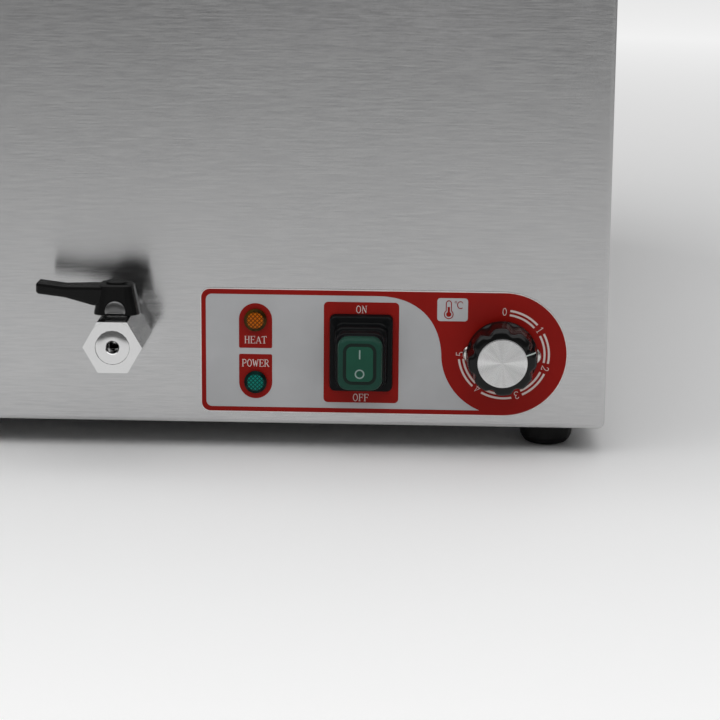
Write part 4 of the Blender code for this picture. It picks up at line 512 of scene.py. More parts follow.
def band(mesh, points, width, depth):
    """A flat ribbon of ink along the points, mitred at each corner."""
    spots = [Vector(point) for point in points]
    closed = (spots[0] - spots[-1]).length < width * LOOP_SHARE
    if closed:
        spots.pop()
    last = len(spots) - 1
    sections = []
    for index, here in enumerate(spots):
        runs = []
        if closed or index:
            runs.append((here - spots[index - 1]).normalized())
        if closed or index < last:
            runs.append((spots[(index + 1) % len(spots)] - here).normalized())
        along = sum(runs, Vector((0.0, 0.0))).normalized()
        side = Vector((-along.y, along.x))
        across = side.dot(Vector((-runs[0].y, runs[0].x)))
        spread = side * (width / 2 / max(MITRE_LIMIT, across))
        sections.append([mesh.verts.new((edge.x, level, edge.y))
                         for edge in (here + spread, here - spread)
                         for level in (depth, depth - INK)])
    pairs = list(zip(sections, sections[1:]))
    if closed:
        pairs.append((sections[-1], sections[0]))
    for section, after in pairs:
        for first, second in ((0, 2), (2, 3), (3, 1), (1, 0)):
            mesh.faces.new((section[first], after[first], after[second], section[second]))
    if not closed:
        for end in (sections[0], sections[-1]):
            mesh.faces.new((end[0], end[2], end[3], end[1]))


def layer_depth(layer):
    """Where a layer of ink starts, counted out from the film's face."""
    return FACE - layer * INK_STEP


def printed(name, outlines, layer, finish):
    """A flat layer of ink on the film: outlines about the dial's centre, holes included."""
    curve = bpy.data.curves.new(name, "CURVE")
    curve.dimensions = "2D"
    curve.fill_mode = "BOTH"
    curve.extrude = INK / 2
    for outline in outlines:
        spline = curve.splines.new("POLY")
        spline.points.add(len(outline) - 1)
        for point, (x, z) in zip(spline.points, outline):
            point.co = (x, z, 0.0, 1.0)
        spline.use_cyclic_u = True
    holder = bpy.data.objects.new(name, curve)
    bpy.context.scene.collection.objects.link(holder)
    flat = bpy.data.meshes.new_from_object(
        holder.evaluated_get(bpy.context.evaluated_depsgraph_get()))
    bpy.data.objects.remove(holder)
    flat.transform(Matrix(((1, 0, 0, DIAL_PLACE.x), (0, 0, -1, layer_depth(layer) - INK / 2),
                           (0, 1, 0, DIAL_PLACE.z), (0, 0, 0, 1))))
    return shown(flat, name, finish, smooth=False)


# Lettering: a glyph is its advance and a list of strokes, each with its points and its weight, in
# a box one unit high
STEM = 0.115
HAIR = 0.055
SLANT = 0.12
BOWL = 0.085
DIGIT = 0.08
SERIF = 0.10
LOW, HIGH = HAIR / 2, 1 - HAIR / 2


def serif(x, z, reach=SERIF):
    return ([(x - reach, z), (x + reach, z)], HAIR)


def upright(x):
    return ([(x, LOW), (x, HIGH)], STEM)


def bowl(x, low, high, reach, steps=10):
    """A half ellipse to the right of a stem."""
    return oval(x, (low + high) / 2, reach, (high - low) / 2, QUARTER, -QUARTER, steps)


GLYPHS = {
    "A": (0.66, [([(0.10, LOW), (0.33, HIGH)], HAIR), ([(0.33, HIGH), (0.57, LOW)], STEM),
                 ([(0.18, 0.34), (0.50, 0.34)], HAIR), serif(0.10, LOW), serif(0.57, LOW)]),
    "C": (0.70, [(oval(0.38, 0.5, 0.30, 0.46, math.radians(52), math.radians(308)), 0.11),
                 ([(0.58, 0.86), (0.60, 0.66)], HAIR)]),
    "E": (0.60, [upright(0.14), ([(0.04, HIGH), (0.52, HIGH)], HAIR),
                 ([(0.14, 0.52), (0.42, 0.52)], HAIR), ([(0.04, LOW), (0.54, LOW)], HAIR),
                 ([(0.52, HIGH), (0.52, 0.76)], HAIR), ([(0.54, LOW), (0.54, 0.24)], HAIR),
                 ([(0.42, 0.42), (0.42, 0.62)], HAIR)]),
    "F": (0.58, [upright(0.14), ([(0.04, HIGH), (0.52, HIGH)], HAIR),
                 ([(0.14, 0.52), (0.42, 0.52)], HAIR), ([(0.52, HIGH), (0.52, 0.74)], HAIR),
                 ([(0.42, 0.42), (0.42, 0.62)], HAIR), serif(0.14, LOW, 0.12)]),
    "H": (0.66, [upright(0.14), upright(0.52), ([(0.14, 0.52), (0.52, 0.52)], HAIR),
                 serif(0.14, LOW), serif(0.14, HIGH), serif(0.52, LOW), serif(0.52, HIGH)]),
    "N": (0.66, [([(0.13, LOW), (0.13, HIGH)], HAIR), ([(0.13, HIGH), (0.53, LOW)], STEM),
                 ([(0.53, LOW), (0.53, HIGH)], HAIR), serif(0.13, LOW),
                 serif(0.11, HIGH, 0.08), serif(0.53, HIGH)]),
    "O": (0.64, [(oval(0.32, 0.5, 0.23, 0.47), 0.09)]),
    "P": (0.60, [upright(0.14),
                 ([(0.04, HIGH)] + bowl(0.32, 0.47, HIGH, 0.20) + [(0.14, 0.47)], BOWL),
                 serif(0.14, LOW, 0.12)]),
    "R": (0.66, [upright(0.14),
                 ([(0.04, HIGH)] + bowl(0.30, 0.50, HIGH, 0.20) + [(0.14, 0.50)], BOWL),
                 ([(0.30, 0.50), (0.54, LOW)], SLANT), serif(0.14, LOW),
                 ([(0.50, LOW), (0.64, LOW)], HAIR)]),
    "T": (0.62, [upright(0.31), ([(0.05, HIGH), (0.57, HIGH)], HAIR),
                 ([(0.06, HIGH), (0.06, 0.78)], HAIR), ([(0.56, HIGH), (0.56, 0.78)], HAIR),
                 serif(0.31, LOW, 0.13)]),
    "W": (0.80, [([(0.10, HIGH), (0.26, LOW)], SLANT), ([(0.26, LOW), (0.40, 0.86)], HAIR),
                 ([(0.40, 0.86), (0.54, LOW)], SLANT), ([(0.54, LOW), (0.70, HIGH)], HAIR),
                 serif(0.10, HIGH), serif(0.70, HIGH, 0.08)]),
    "0": (0.60, [(oval(0.30, 0.5, 0.22, 0.46), DIGIT)]),
    "1": (0.60, [([(0.14, 0.80), (0.32, HIGH), (0.32, LOW)], 0.09), serif(0.32, LOW, 0.15)]),
    "2": (0.60, [([(0.10, 0.74)] + oval(0.30, 0.72, 0.20, 0.24, math.pi, 0.0, 8)
                  + [(0.44, 0.48), (0.08, LOW + 0.02), (0.54, LOW + 0.02), (0.54, 0.18)],
                  DIGIT)]),
    "3": (0.60, [(oval(0.28, 0.74, 0.20, 0.22, math.radians(165), math.radians(-80), 10)
                  + oval(0.26, 0.28, 0.25, 0.24, math.radians(80), math.radians(-165), 12),
                  DIGIT)]),
    "4": (0.60, [([(0.42, LOW), (0.42, HIGH), (0.06, 0.30), (0.56, 0.30)], DIGIT),
                 serif(0.42, LOW, 0.08)]),
    "5": (0.60, [([(0.50, HIGH), (0.15, HIGH), (0.12, 0.55)]
                  + oval(0.27, 0.31, 0.24, 0.28, math.radians(110), math.radians(-160), 12),
                  DIGIT)]),
}


def write(mesh, word, height, width, place, layer, turn=0.0, centred=False):
    """Adds a word's strokes, its low left corner (or its middle) at a place by the dial."""
    advance = sum(GLYPHS[letter][0] for letter in word)
    stretch = width / (advance * height)
    cos, sin = math.cos(turn), math.sin(turn)
    pen, rise = (-advance / 2, -0.5) if centred else (0.0, 0.0)
    for letter in word:
        step, strokes = GLYPHS[letter]
        for points, weight in strokes:
            laid = []
            for across, up in points:
                x, z = (pen + across) * height * stretch, (up + rise) * height
                laid.append((DIAL_PLACE.x + place[0] + x * cos + z * sin,
                             DIAL_PLACE.z + place[1] - x * sin + z * cos))
            band(mesh, laid, weight * height, layer_depth(layer))
        pen += step


# Materials by name
LAMP_CENTRES = [DIAL_PLACE + Vector((LAMP_X, 0.0, side * LAMP_RISE)) for side in (1, -1)]

FRONT_STEEL = brushed("front_steel", "X", 0.58, spread=0.10, rough=(0.14, 0.25))
SIDE_STEEL = brushed("side_steel", "Y", 0.58, spread=0.05, rough=(0.17, 0.26))
DECK_STEEL = brushed("deck_steel", "Y", 0.58, spread=0.05, rough=(0.26, 0.36))
TANK_STEEL = satin_metal("tank_steel", (0.60, 0.60, 0.61), 0.30)
PAN_STEEL = satin_metal("pan_steel", (0.66, 0.66, 0.67), 0.27)
LID_STEEL = brushed("lid_steel", "X", 0.60, spread=0.04, rough=(0.28, 0.38))
HANDLE_STEEL = satin_metal("handle_steel", (0.66, 0.66, 0.67), 0.22)
CHROME = satin_metal("tap_chrome", (0.78, 0.78, 0.78), 0.16, grit=900.0, spread=0.03)
ZINC = satin_metal("zinc_screws", (0.68, 0.67, 0.64), 0.26)
BRASS = satin_metal("brass_nuts", (0.60, 0.43, 0.18), 0.30)
CAP_METAL = turned("knob_cap_metal", (0.82, 0.82, 0.82), 0.28, KNOB_AXIS)
RUBBER = moulded("foot_rubber", (0.008, 0.008, 0.008), 0.62, gloss=0.2)
KNOB_BLACK = moulded("knob_black", (0.004, 0.004, 0.004), 0.17, grit=900.0, depth=0.00001,
                     spread=0.2, gloss=0.25)
LEVER_BLACK = moulded("lever_black", (0.004, 0.004, 0.004), 0.22, gloss=0.16)
DARK_METAL = satin_metal("dark_metal", (0.20, 0.20, 0.20), 0.30)
PLASTIC_BLACK = moulded("plastic_black", (0.013, 0.013, 0.013), 0.34)
FIBRE = moulded("grey_fibre", (0.32, 0.32, 0.31), 0.78, grit=700.0, depth=0.00008)
WHITE = moulded("white_plastic", (0.68, 0.68, 0.66), 0.42)
FILM = ink("film_edge", (0.80, 0.77, 0.76), 0.34)
RED_INK = ink("red_ink", (0.290, 0.008, 0.005), 0.36, gloss=0.1, spread=0.05)
GREY_INK = ink("grey_ink", (0.51, 0.515, 0.525), 0.38, gloss=0.2)
WHITE_INK = ink("white_ink", (0.74, 0.64, 0.61), 0.40, gloss=0.2)
MARK_WHITE = ink("mark_white", (0.50, 0.56, 0.53), 0.35)
MARK_GREY = ink("mark_grey", (0.26, 0.36, 0.33), 0.35)
AMBER = lens("amber_lens", (0.56, 0.130, 0.003), (0.060, 0.030, 0.003), LAMP_CENTRES[0])
GREEN = lens("green_lens", (0.006, 0.23, 0.18), (0.003, 0.024, 0.020), LAMP_CENTRES[1])
ROCKER = moulded("rocker_green", (0.010, 0.12, 0.07), 0.30)
BOOT_BLACK = boot_rubber("boot_black", (0.0035, 0.004, 0.0045), 0.32, gloss=0.10, spread=0.12)
DOME_GREEN = boot_rubber("dome_green", (0.016, 0.062, 0.044), 0.38, gloss=0.09)
# painted shade: the dark ring round the dome's field stands for the shade in its groove
DOME_GROOVE_SHADE = boot_rubber("dome_groove_shade", (0.010, 0.020, 0.016), 0.34, gloss=0.10)
DOME_FIELD = boot_rubber("dome_field", (0.014, 0.084, 0.052), 0.34, gloss=0.12)
ELEMENT_STEEL = satin_metal("element_steel", (0.42, 0.40, 0.38), 0.38)

NODE_FINISHES = {
    FRONT_STEEL: ("front_panel", "rear_panel"),
    SIDE_STEEL: ("side_panel_left", "side_panel_right", "base_plate"),
    DECK_STEEL: ("top_deck",),
    TANK_STEEL: ("water_tank", "element_clip"),
    PAN_STEEL: ("pan_front", "pan_rear"),
    LID_STEEL: ("lid_front_back_leaf", "lid_front_flap", "lid_rear_back_leaf", "lid_rear_flap"),
    HANDLE_STEEL: ("lid_front_handle", "lid_rear_handle", "lid_front_hinge_pin",
                   "lid_rear_hinge_pin"),
    CHROME: ("tap_body", "tap_ball"),
    ZINC: ("foot_screw_front_left", "foot_screw_front_right", "foot_screw_rear_left",
           "foot_screw_rear_right", "thermostat_screw_left", "thermostat_screw_right",
           "thermostat_spindle", "tap_stem", "lever_nut"),
    BRASS: ("thermostat_bulb", "bulb_gland", "tap_backnut", "tap_locknut", "element_gland_left",
            "element_gland_right"),
    CAP_METAL: ("knob_cap",),
    RUBBER: ("foot_front_left", "foot_front_right", "foot_rear_left", "foot_rear_right"),
    KNOB_BLACK: ("control_knob",),
    LEVER_BLACK: ("tap_lever",),
    PLASTIC_BLACK: ("switch_body", "overheat_cutout", "cable_gland", "cable_gland_locknut"),
    FIBRE: ("tap_gasket",),
    WHITE: ("heat_lamp_body", "power_lamp_body", "thermostat_body", "terminal_block"),
    FILM: ("control_overlay",),
    AMBER: ("heat_lamp_lens",),
    GREEN: ("power_lamp_lens",),
    ROCKER: ("switch_rocker",),
    BOOT_BLACK: ("switch_boot",),
    ELEMENT_STEEL: ("heating_element",),
}


def dress_nodes():
    """Gives each node of the frame its finish."""
    for finish, names in NODE_FINISHES.items():
        for name in names:
            node = frame["nodes"][name]
            node.data.materials.clear()
            node.data.materials.append(finish.material)


# Print on the film
def film_outline(inset):
    """The film's outline: square at the left with small corners, a half circle at the right."""
    left = FILM_LOW.x - DIAL_PLACE.x + inset
    high, corner = FILM_RADIUS - inset, FILM_CORNER - inset
    right = arc((0.0, 0.0), high, -QUARTER, QUARTER, HALF_CIRCLE_STEPS)
    top = arc((left + corner, high - corner), corner, QUARTER, 2 * QUARTER, CORNER_STEPS)
    bottom = arc((left + corner, corner - high), corner, 2 * QUARTER, 3 * QUARTER, CORNER_STEPS)
    return right + top + bottom


def grey_field():
    """The pale field at the left, which the red round the dial sweeps into."""
    low_turn = math.asin(BORDER_BOTTOM / SWEEP_RADIUS)
    dial_side = bezier(SWEEP, SWEEP_STEPS)
    dial_side += arc((0.0, 0.0), SWEEP_RADIUS, math.pi, math.pi - low_turn, SWEEP_STEPS)[1:]
    x, corner = BORDER_LEFT + BORDER_CORNER, BORDER_CORNER
    bottom = arc((x, BORDER_BOTTOM + corner), corner, -QUARTER, -2 * QUARTER, CORNER_STEPS)
    top = arc((x, BORDER_TOP - corner), corner, 2 * QUARTER, QUARTER, CORNER_STEPS)
    return dial_side + bottom + top


def lamp_tab(low, high, arched_top):
    radius = TAB_WIDTH / 2
    arch, plain = (radius, radius), (TAB_CORNER, TAB_CORNER)
    corners = arch + plain if arched_top else plain + arch
    return rounded(LAMP_X - radius, LAMP_X + radius, low, high, corners, TAB_STEPS)


def switch_hole():
    half_x, half_z = SWITCH_HOLE_WIDTH / 2, SWITCH_HOLE_HEIGHT / 2
    return rounded(SWITCH_X - half_x, SWITCH_X + half_x, SWITCH_Z - half_z, SWITCH_Z + half_z,
                   FILM_MARGIN)


def dial_arc(radius, start, end):
    """A curved bar about the dial; angles run clockwise from the top."""
    low, high = QUARTER - start, QUARTER - end
    outer = arc((0.0, 0.0), radius + ARC_WIDTH / 2, low, high, ARC_STEPS)
    inner = arc((0.0, 0.0), radius - ARC_WIDTH / 2, high, low, ARC_STEPS)
    return outer + inner


def bulb(radius, stem, steps):
    """The thermometer's round bulb, open at the top where the stem meets it."""
    meet = math.asin(stem / radius)
    return arc((THERMOMETER_X, THERMOMETER_LOW + BULB_RADIUS), radius, QUARTER + meet,
               5 * QUARTER - meet, steps)


def thermometer(inset):
    """A stem with a round bulb, its outline moved in."""
    stem = STEM_RADIUS - inset
    top = arc((THERMOMETER_X, THERMOMETER_HIGH - STEM_RADIUS), stem, 0.0, math.pi, STEM_STEPS)
    return bulb(BULB_RADIUS - inset, stem, THERMOMETER_STEPS) + top


def mercury():
    return bulb(BULB_RADIUS - MERCURY_INSET, MERCURY_STEM, MERCURY_STEPS) + [
        (THERMOMETER_X + MERCURY_STEM, MERCURY_HIGH), (THERMOMETER_X - MERCURY_STEM, MERCURY_HIGH)]


def print_colours():
    """The red ground with the grey field, the tabs, the dial's arcs and the thermometer on it."""
    lamps = [ring(LAMP_HOLE_RADIUS, (LAMP_X, side * LAMP_RISE)) for side in (1, -1)]
    screws = [ring(SCREW_HOLE_RADIUS, (side * SCREW_OFFSET, 0.0), SCREW_HOLE_STEPS)
              for side in (-1, 1)]
    switch = switch_hole()
    arcs = [dial_arc(radius, DIGIT_TURN * step + ARC_START, DIGIT_TURN * step + ARC_END)
            for step in range(DIGITS - 1) for radius in ARC_RADII]
    heat_tab = lamp_tab(HEAT_TAB_LOW, HEAT_TAB_HIGH, arched_top=True)
    power_tab = lamp_tab(POWER_TAB_LOW, POWER_TAB_HIGH, arched_top=False)
    base = [film_outline(FILM_MARGIN), ring(SPINDLE_HOLE_RADIUS)] + screws + [switch] + lamps
    for name, outlines, layer, finish in (
            ("red", base, BASE_LAYER, RED_INK),
            ("grey", [grey_field(), switch] + lamps, FIELD_LAYER, GREY_INK),
            ("heat_tab", [heat_tab, lamps[0]], TAB_LAYER, RED_INK),
            ("power_tab", [power_tab, lamps[1]], TAB_LAYER, RED_INK),
            ("switch_frame", [rounded(*SWITCH_FRAME, SWITCH_FRAME_CORNER), switch], TAB_LAYER,
             RED_INK),
            ("dial_arcs", arcs, FIELD_LAYER, WHITE_INK),
            ("icon_plate", [rounded(*ICON_PLATE, ICON_CORNER)], FIELD_LAYER, GREY_INK),
            ("thermometer", [thermometer(0.0), thermometer(ICON_LINE)], TAB_LAYER, RED_INK),
            ("mercury", [mercury()], TAB_LAYER, RED_INK)):
        printed("print_" + name, outlines, layer, finish)


def print_lettering():
    """The words, the dial's figures and the degree sign beside the thermometer."""
    words = bmesh.new()
    for word, (middle, foot, width) in WORDS.items():
        write(words, word, WORD_HEIGHT, width, (middle - width / 2, foot), TAB_LAYER + LETTER_LIFT)
    for digit in range(DIGITS):
        turn = DIGIT_TURN * digit
        place = (DIGIT_RADIUS * math.sin(turn), DIGIT_RADIUS * math.cos(turn))
        write(words, str(digit), DIGIT_HEIGHT, DIGIT_WIDTH, place, BASE_LAYER + LETTER_LIFT,
              turn, centred=True)
    shown(words, "print_words", WHITE_INK, smooth=False)
    celsius = bmesh.new()
    layer = FIELD_LAYER + LETTER_LIFT
    write(celsius, "C", CELSIUS_HEIGHT, CELSIUS_WIDTH,
          (CELSIUS_X - CELSIUS_WIDTH / 2, CELSIUS_FOOT), layer)
    degree = [(DIAL_PLACE.x + x, DIAL_PLACE.z + z)
              for x, z in oval(*DEGREE_PLACE, DEGREE_RADIUS, DEGREE_RADIUS, steps=DEGREE_STEPS)]
    band(celsius, degree, DEGREE_LINE, layer_depth(layer))
    shown(celsius, "print_celsius", RED_INK, smooth=False)


# Switch boot, measured from the dial's centre and from the panel's face
BOOT_WIDTH = 0.0292
BOOT_HEIGHT = 0.0357
BOOT_CORNER = 0.0024
BOOT_CORNER_STEPS = 8
DOME_WIDTH = 0.0204
DOME_HEIGHT = 0.0246
DOME_CORNER = 0.0048
DOME_DROP = 0.0021
# (share of the way in from flange to dome, proud) down the skirt and over the dome
SKIRT_PROFILE = (
    (0.20, 0.0002), (0.00, 0.0002), (0.00, 0.0022), (0.03, 0.0032), (0.10, 0.0038), (0.52, 0.0040),
    (0.58, 0.0044), (0.605, 0.0056), (0.62, 0.0078), (0.645, 0.0087), (0.69, 0.0090),
    (0.77, 0.0091), (0.80, 0.0095), (0.815, 0.0108), (0.825, 0.0122), (0.85, 0.0129),
    (0.89, 0.0131), (0.94, 0.0131), (0.97, 0.0133), (0.985, 0.0138),
)
DOME_PROFILE = ((0.99, 0.0138), (1.00, 0.0160), (1.02, 0.0172), (1.06, 0.0181), (1.13, 0.0187),
                (1.22, 0.0190))
SKIRT_TOP = SKIRT_PROFILE[-1][1]
DOME_TOP = DOME_PROFILE[-1][1]
FIELD_DROP = 0.00165
FIELD_WIDTH = 0.0123
FIELD_HEIGHT = 0.0163
FIELD_CORNER = 0.0026
FIELD_RISE = 0.0002
GROOVE_WIDTH = 0.0015
MARK_LINE = 0.00062
MARK_BAR_HEIGHT = 0.0042
MARK_BAR_RISE = 0.0045
MARK_RING_RADIUS = 0.0019
MARK_RING_DROP = 0.0046
MARK_RING_STEPS = 32


def boot_outline(width, height, corner, middle_z, proud):
    half_x, half_z = width / 2, height / 2
    outline = rounded(DIAL_PLACE.x + SWITCH_X - half_x, DIAL_PLACE.x + SWITCH_X + half_x,
                      middle_z - half_z, middle_z + half_z, corner, BOOT_CORNER_STEPS)
    return facing(outline, DIAL_PLACE.y - proud)


def boot_ring(share, proud):
    width = BOOT_WIDTH + (DOME_WIDTH - BOOT_WIDTH) * share
    height = BOOT_HEIGHT + (DOME_HEIGHT - BOOT_HEIGHT) * share
    corner = BOOT_CORNER + (DOME_CORNER - BOOT_CORNER) * min(share, 1.0)
    middle_z = DIAL_PLACE.z + SWITCH_Z - DOME_DROP * min(proud / SKIRT_TOP, 1.0)
    return boot_outline(width, height, corner, middle_z, proud)


def field_ring(outset, corner, proud):
    middle_z = DIAL_PLACE.z + SWITCH_Z - FIELD_DROP
    return boot_outline(FIELD_WIDTH + outset, FIELD_HEIGHT + outset, corner, middle_z, proud)


def boot_marks(x, middle_z, proud):
    """The bar and the ring printed on the dome."""
    mesh = bmesh.new()
    depth = DIAL_PLACE.y - proud - INK
    low, high = (middle_z + MARK_BAR_RISE + side * MARK_BAR_HEIGHT / 2 for side in (-1, 1))
    band(mesh, [(x, low), (x, high)], MARK_LINE, depth)
    circle = oval(x, middle_z - MARK_RING_DROP, MARK_RING_RADIUS, MARK_RING_RADIUS,
                  steps=MARK_RING_STEPS)
    band(mesh, circle, MARK_LINE, depth)
    return mesh


def soft_boot():
    """The waterproof boot and the marks on its dome, with the rocker inside."""
    x, middle_z = DIAL_PLACE.x + SWITCH_X, DIAL_PLACE.z + SWITCH_Z - FIELD_DROP
    top = DOME_TOP + INK_STEP
    skirt = loft([boot_ring(*section) for section in SKIRT_PROFILE], OPEN)
    dome = loft([boot_ring(*section) for section in DOME_PROFILE], END_CLOSED)
    # the groove is a nearly flat dark band round the field; its darkness is painted shade
    groove = loft([field_ring(2 * GROOVE_WIDTH, FIELD_CORNER + GROOVE_WIDTH, top),
                   field_ring(0.0, FIELD_CORNER, top + INK_STEP)], END_CLOSED)
    field = loft([field_ring(0.0, FIELD_CORNER, top),
                  field_ring(-FIELD_RISE, FIELD_CORNER, top + FIELD_RISE)], END_CLOSED)
    marks = boot_marks(x, middle_z, top + FIELD_RISE)
    pieces = [shown(mesh, name, finish, smooth=mesh is not marks, body=None)
              for mesh, name, finish in (
                  (skirt, "boot_skirt", BOOT_BLACK), (dome, "boot_dome", DOME_GREEN),
                  (groove, "boot_groove", DOME_GROOVE_SHADE), (field, "boot_field", DOME_FIELD),
                  (marks, "boot_marks", MARK_GREY))]
    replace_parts(pieces[0], "switch_boot")
    for piece in pieces:
        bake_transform(piece)


# Thermostat knob, measured from its axis and from the panel's face
KNOB_FLUTES = 8
KNOB_FLUTE_STEPS = 16
KNOB_RIDGE_TURN = math.radians(-4)
KNOB_RIDGE_SHARE = 0.42
# (radius, proud, depth of the finger flutes) of the skirt, the grip and the domed rim
KNOB_PROFILE = (
    (0.0150, 0.0034, 0.0), (0.0165, 0.0034, 0.0), (0.0166, 0.0038, 0.0), (0.0165, 0.0052, 0.0),
    (0.0164, 0.0056, 0.0001), (0.0162, 0.0060, 0.0004), (0.0161, 0.0068, 0.0009),
    (0.0160, 0.0110, 0.0014), (0.0158, 0.0155, 0.0018), (0.0156, 0.0166, 0.0018),
    (0.0151, 0.0175, 0.0016), (0.0143, 0.0182, 0.0011), (0.0130, 0.0186, 0.0005),
    (0.0114, 0.0188, 0.0),
)
# (radius, proud) of the disc in the knob's face, of the pointer's nose and of a screw's head
DISC_PROFILE = ((0.0114, 0.0187), (0.01135, 0.01895), (0.0112, 0.0190), (0.0106, 0.0190))
DISC_STEPS = 64
NOSE_PROFILE = ((0.0110, 0.0188), (0.0150, 0.0184), (0.0158, 0.0175), (0.0163, 0.0056))
NOSE_TURN = math.radians(71)
NOSE_TOP_WIDTH = 0.0020
NOSE_FOOT_WIDTH = 0.0034
NOSE_FOOT_INSET = 0.0034
NOSE_FOOT_PROUD = 0.0050
POINTER_WIDTH = 0.0006
POINTER_RISE = 0.00012
SCREW_HEAD_PROFILE = ((0.0042, 0.0007), (0.0042, 0.0013), (0.0040, 0.0018), (0.0033, 0.0023),
                      (0.0022, 0.0026), (0.0008, 0.0027))
SCREW_HEAD_STEPS = 40


def flute(turn):
    """How far into a finger flute a turn lies: 0 on a ridge, 1 in the middle of a flute."""
    step = math.tau / KNOB_FLUTES
    share = abs(((turn - KNOB_RIDGE_TURN) / step + 0.5) % 1.0 - 0.5) * 2
    past = max(0.0, share - KNOB_RIDGE_SHARE) / (1 - KNOB_RIDGE_SHARE)
    return (1 - math.cos(past * math.pi)) / 2


def lathed(profile, centre, steps):
    """A form turned about an axis from front to back, hollowed by flutes where it has them."""
    rings = []
    for radius, proud, *depth in profile:
        outline = []
        for step in range(steps):
            turn = -math.tau * step / steps
            reach = radius - depth[0] * flute(turn) if depth else radius
            outline.append((centre.x + reach * math.sin(turn), centre.z + reach * math.cos(turn)))
        rings.append(facing(outline, DIAL_PLACE.y - proud))
    return loft(rings, END_CLOSED)


def knob():
    """The fluted grip on its round skirt, and the turned disc in its face."""
    grip = shown(lathed(KNOB_PROFILE, KNOB_AXIS, KNOB_FLUTES * KNOB_FLUTE_STEPS), "knob_grip",
                 KNOB_BLACK, body="knob")
    disc = shown(lathed(DISC_PROFILE, KNOB_AXIS, DISC_STEPS), "knob_disc", CAP_METAL,
                 body="knob")
    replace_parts(grip, "control_knob")
    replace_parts(disc, "knob_cap")


def pointer():
    """The pointer's nose and the line inlaid along its top, as far as its last ring but one."""
    outward = Vector((math.sin(NOSE_TURN), 0.0, math.cos(NOSE_TURN)))
    across = Vector((math.cos(NOSE_TURN), 0.0, -math.sin(NOSE_TURN)))
    axis = Vector((KNOB_AXIS.x, DIAL_PLACE.y, KNOB_AXIS.z))
    half_top, half_foot = across * NOSE_TOP_WIDTH / 2, across * NOSE_FOOT_WIDTH / 2
    half_line = across * POINTER_WIDTH / 2
    lift = outward * POINTER_RISE - Vector((0.0, POINTER_RISE, 0.0))
    nose, line = [], []
    for radius, proud in NOSE_PROFILE:
        top = axis + outward * radius - Vector((0.0, proud, 0.0))
        foot = axis + outward * (radius - NOSE_FOOT_INSET) - Vector((0.0, NOSE_FOOT_PROUD, 0.0))
        nose.append([top - half_top, top + half_top, foot + half_foot, foot - half_foot])
        line.append([top + lift - half_line, top + lift + half_line,
                     top - lift + half_line, top - lift - half_line])
    shown(loft(nose, CLOSED), "knob_nose", KNOB_BLACK, body="knob")
    shown(loft(line[:-1], CLOSED), "knob_pointer", MARK_WHITE, smooth=False,
          body="knob")


def screw_heads():
    for side in ("left", "right"):
        low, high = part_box("thermostat_screw_" + side)
        head = lathed(SCREW_HEAD_PROFILE, (low + high) / 2, SCREW_HEAD_STEPS)
        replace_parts(shown(head, "dial_screw_" + side, ZINC), "thermostat_screw_" + side)


# Tap: the square-cut front face of its hexagon, the ring in its outlet and the lever's caps
TAP_FLATS = 0.02319
TAP_SIDES = 6
TAP_STEPS = 48
TAP_FACE_RADIUS = 0.0109
TAP_FACE_DEPTH = 0.0009
TAP_FACE_BACK = 0.00003
# (radius, set back from the face) of the ring pressed into the outlet's mouth
MOUTH_PROFILE = ((0.0076, 0.0009), (0.0076, 0.0002), (0.0074, 0.0001), (0.0032, 0.0001),
                 (0.0029, 0.0004), (0.0027, 0.0060))
# (radius, rise) of the snap-in cap over the lever's nut, and (radius, proud) of its front boss
CAP_PROFILE = ((0.0049, -0.0008), (0.0049, 0.0001), (0.0046, 0.0005), (0.0036, 0.0009),
               (0.0022, 0.0011), (0.0008, 0.0012))
CAP_STEPS = 40
BOSS_RISE = 0.01425
BOSS_TURN = math.radians(-14)
BOSS_STEPS = 24
BOSS_PROFILE = ((0.0047, -0.0010), (0.0046, 0.0003), (0.0040, 0.0007), (0.0026, 0.0010),
                (0.0010, 0.0011))


def hexagon(flats):
    """The tap's outline, in as many steps as the circle that it meets."""
    outline = []
    for step in range(TAP_STEPS):
        turn = math.tau * step / TAP_STEPS
        past = turn % (math.tau / TAP_SIDES) - math.pi / TAP_SIDES
        reach = flats / 2 / math.cos(past)
        outline.append((TAP_AXIS.x + math.cos(turn) * reach, TAP_AXIS.z + math.sin(turn) * reach))
    return outline


def tap_front():
    """The bright rim of the tap's face and the ring in its mouth."""
    middle = (TAP_AXIS.x, TAP_AXIS.z)
    front = TAP_FRONT + TAP_FACE_BACK
    outer = hexagon(TAP_FLATS)
    rings = [facing(outer, front + TAP_FACE_DEPTH), facing(outer, front),
             facing(ring(TAP_FACE_RADIUS, middle, TAP_STEPS), front)]
    shown(loft(rings, OPEN), "tap_face_rim", CHROME)
    rings = [facing(ring(radius, middle), TAP_FRONT + back) for radius, back in MOUTH_PROFILE]
    shown(loft(rings, OPEN), "tap_mouth_ring", CHROME)


def lever_trim():
    """The cap on top of the lever's hub and the metal boss that shows in its front."""
    low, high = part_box("tap_lever")
    middle = (TAP_AXIS.x, TAP_AXIS.y)
    rings = [[Vector((x, y, high.z + rise)) for x, y in ring(radius, middle, CAP_STEPS)]
             for radius, rise in CAP_PROFILE]
    shown(loft(rings, END_CLOSED), "lever_cap", LEVER_BLACK, body="tap_valve")
    middle = (TAP_AXIS.x, TAP_AXIS.z + BOSS_RISE)
    rings = [facing(arc(middle, radius, BOSS_TURN, math.pi - BOSS_TURN, BOSS_STEPS), low.y - proud)
             for radius, proud in BOSS_PROFILE]
    shown(loft(rings, END_CLOSED), "lever_boss", DARK_METAL, body="tap_valve")


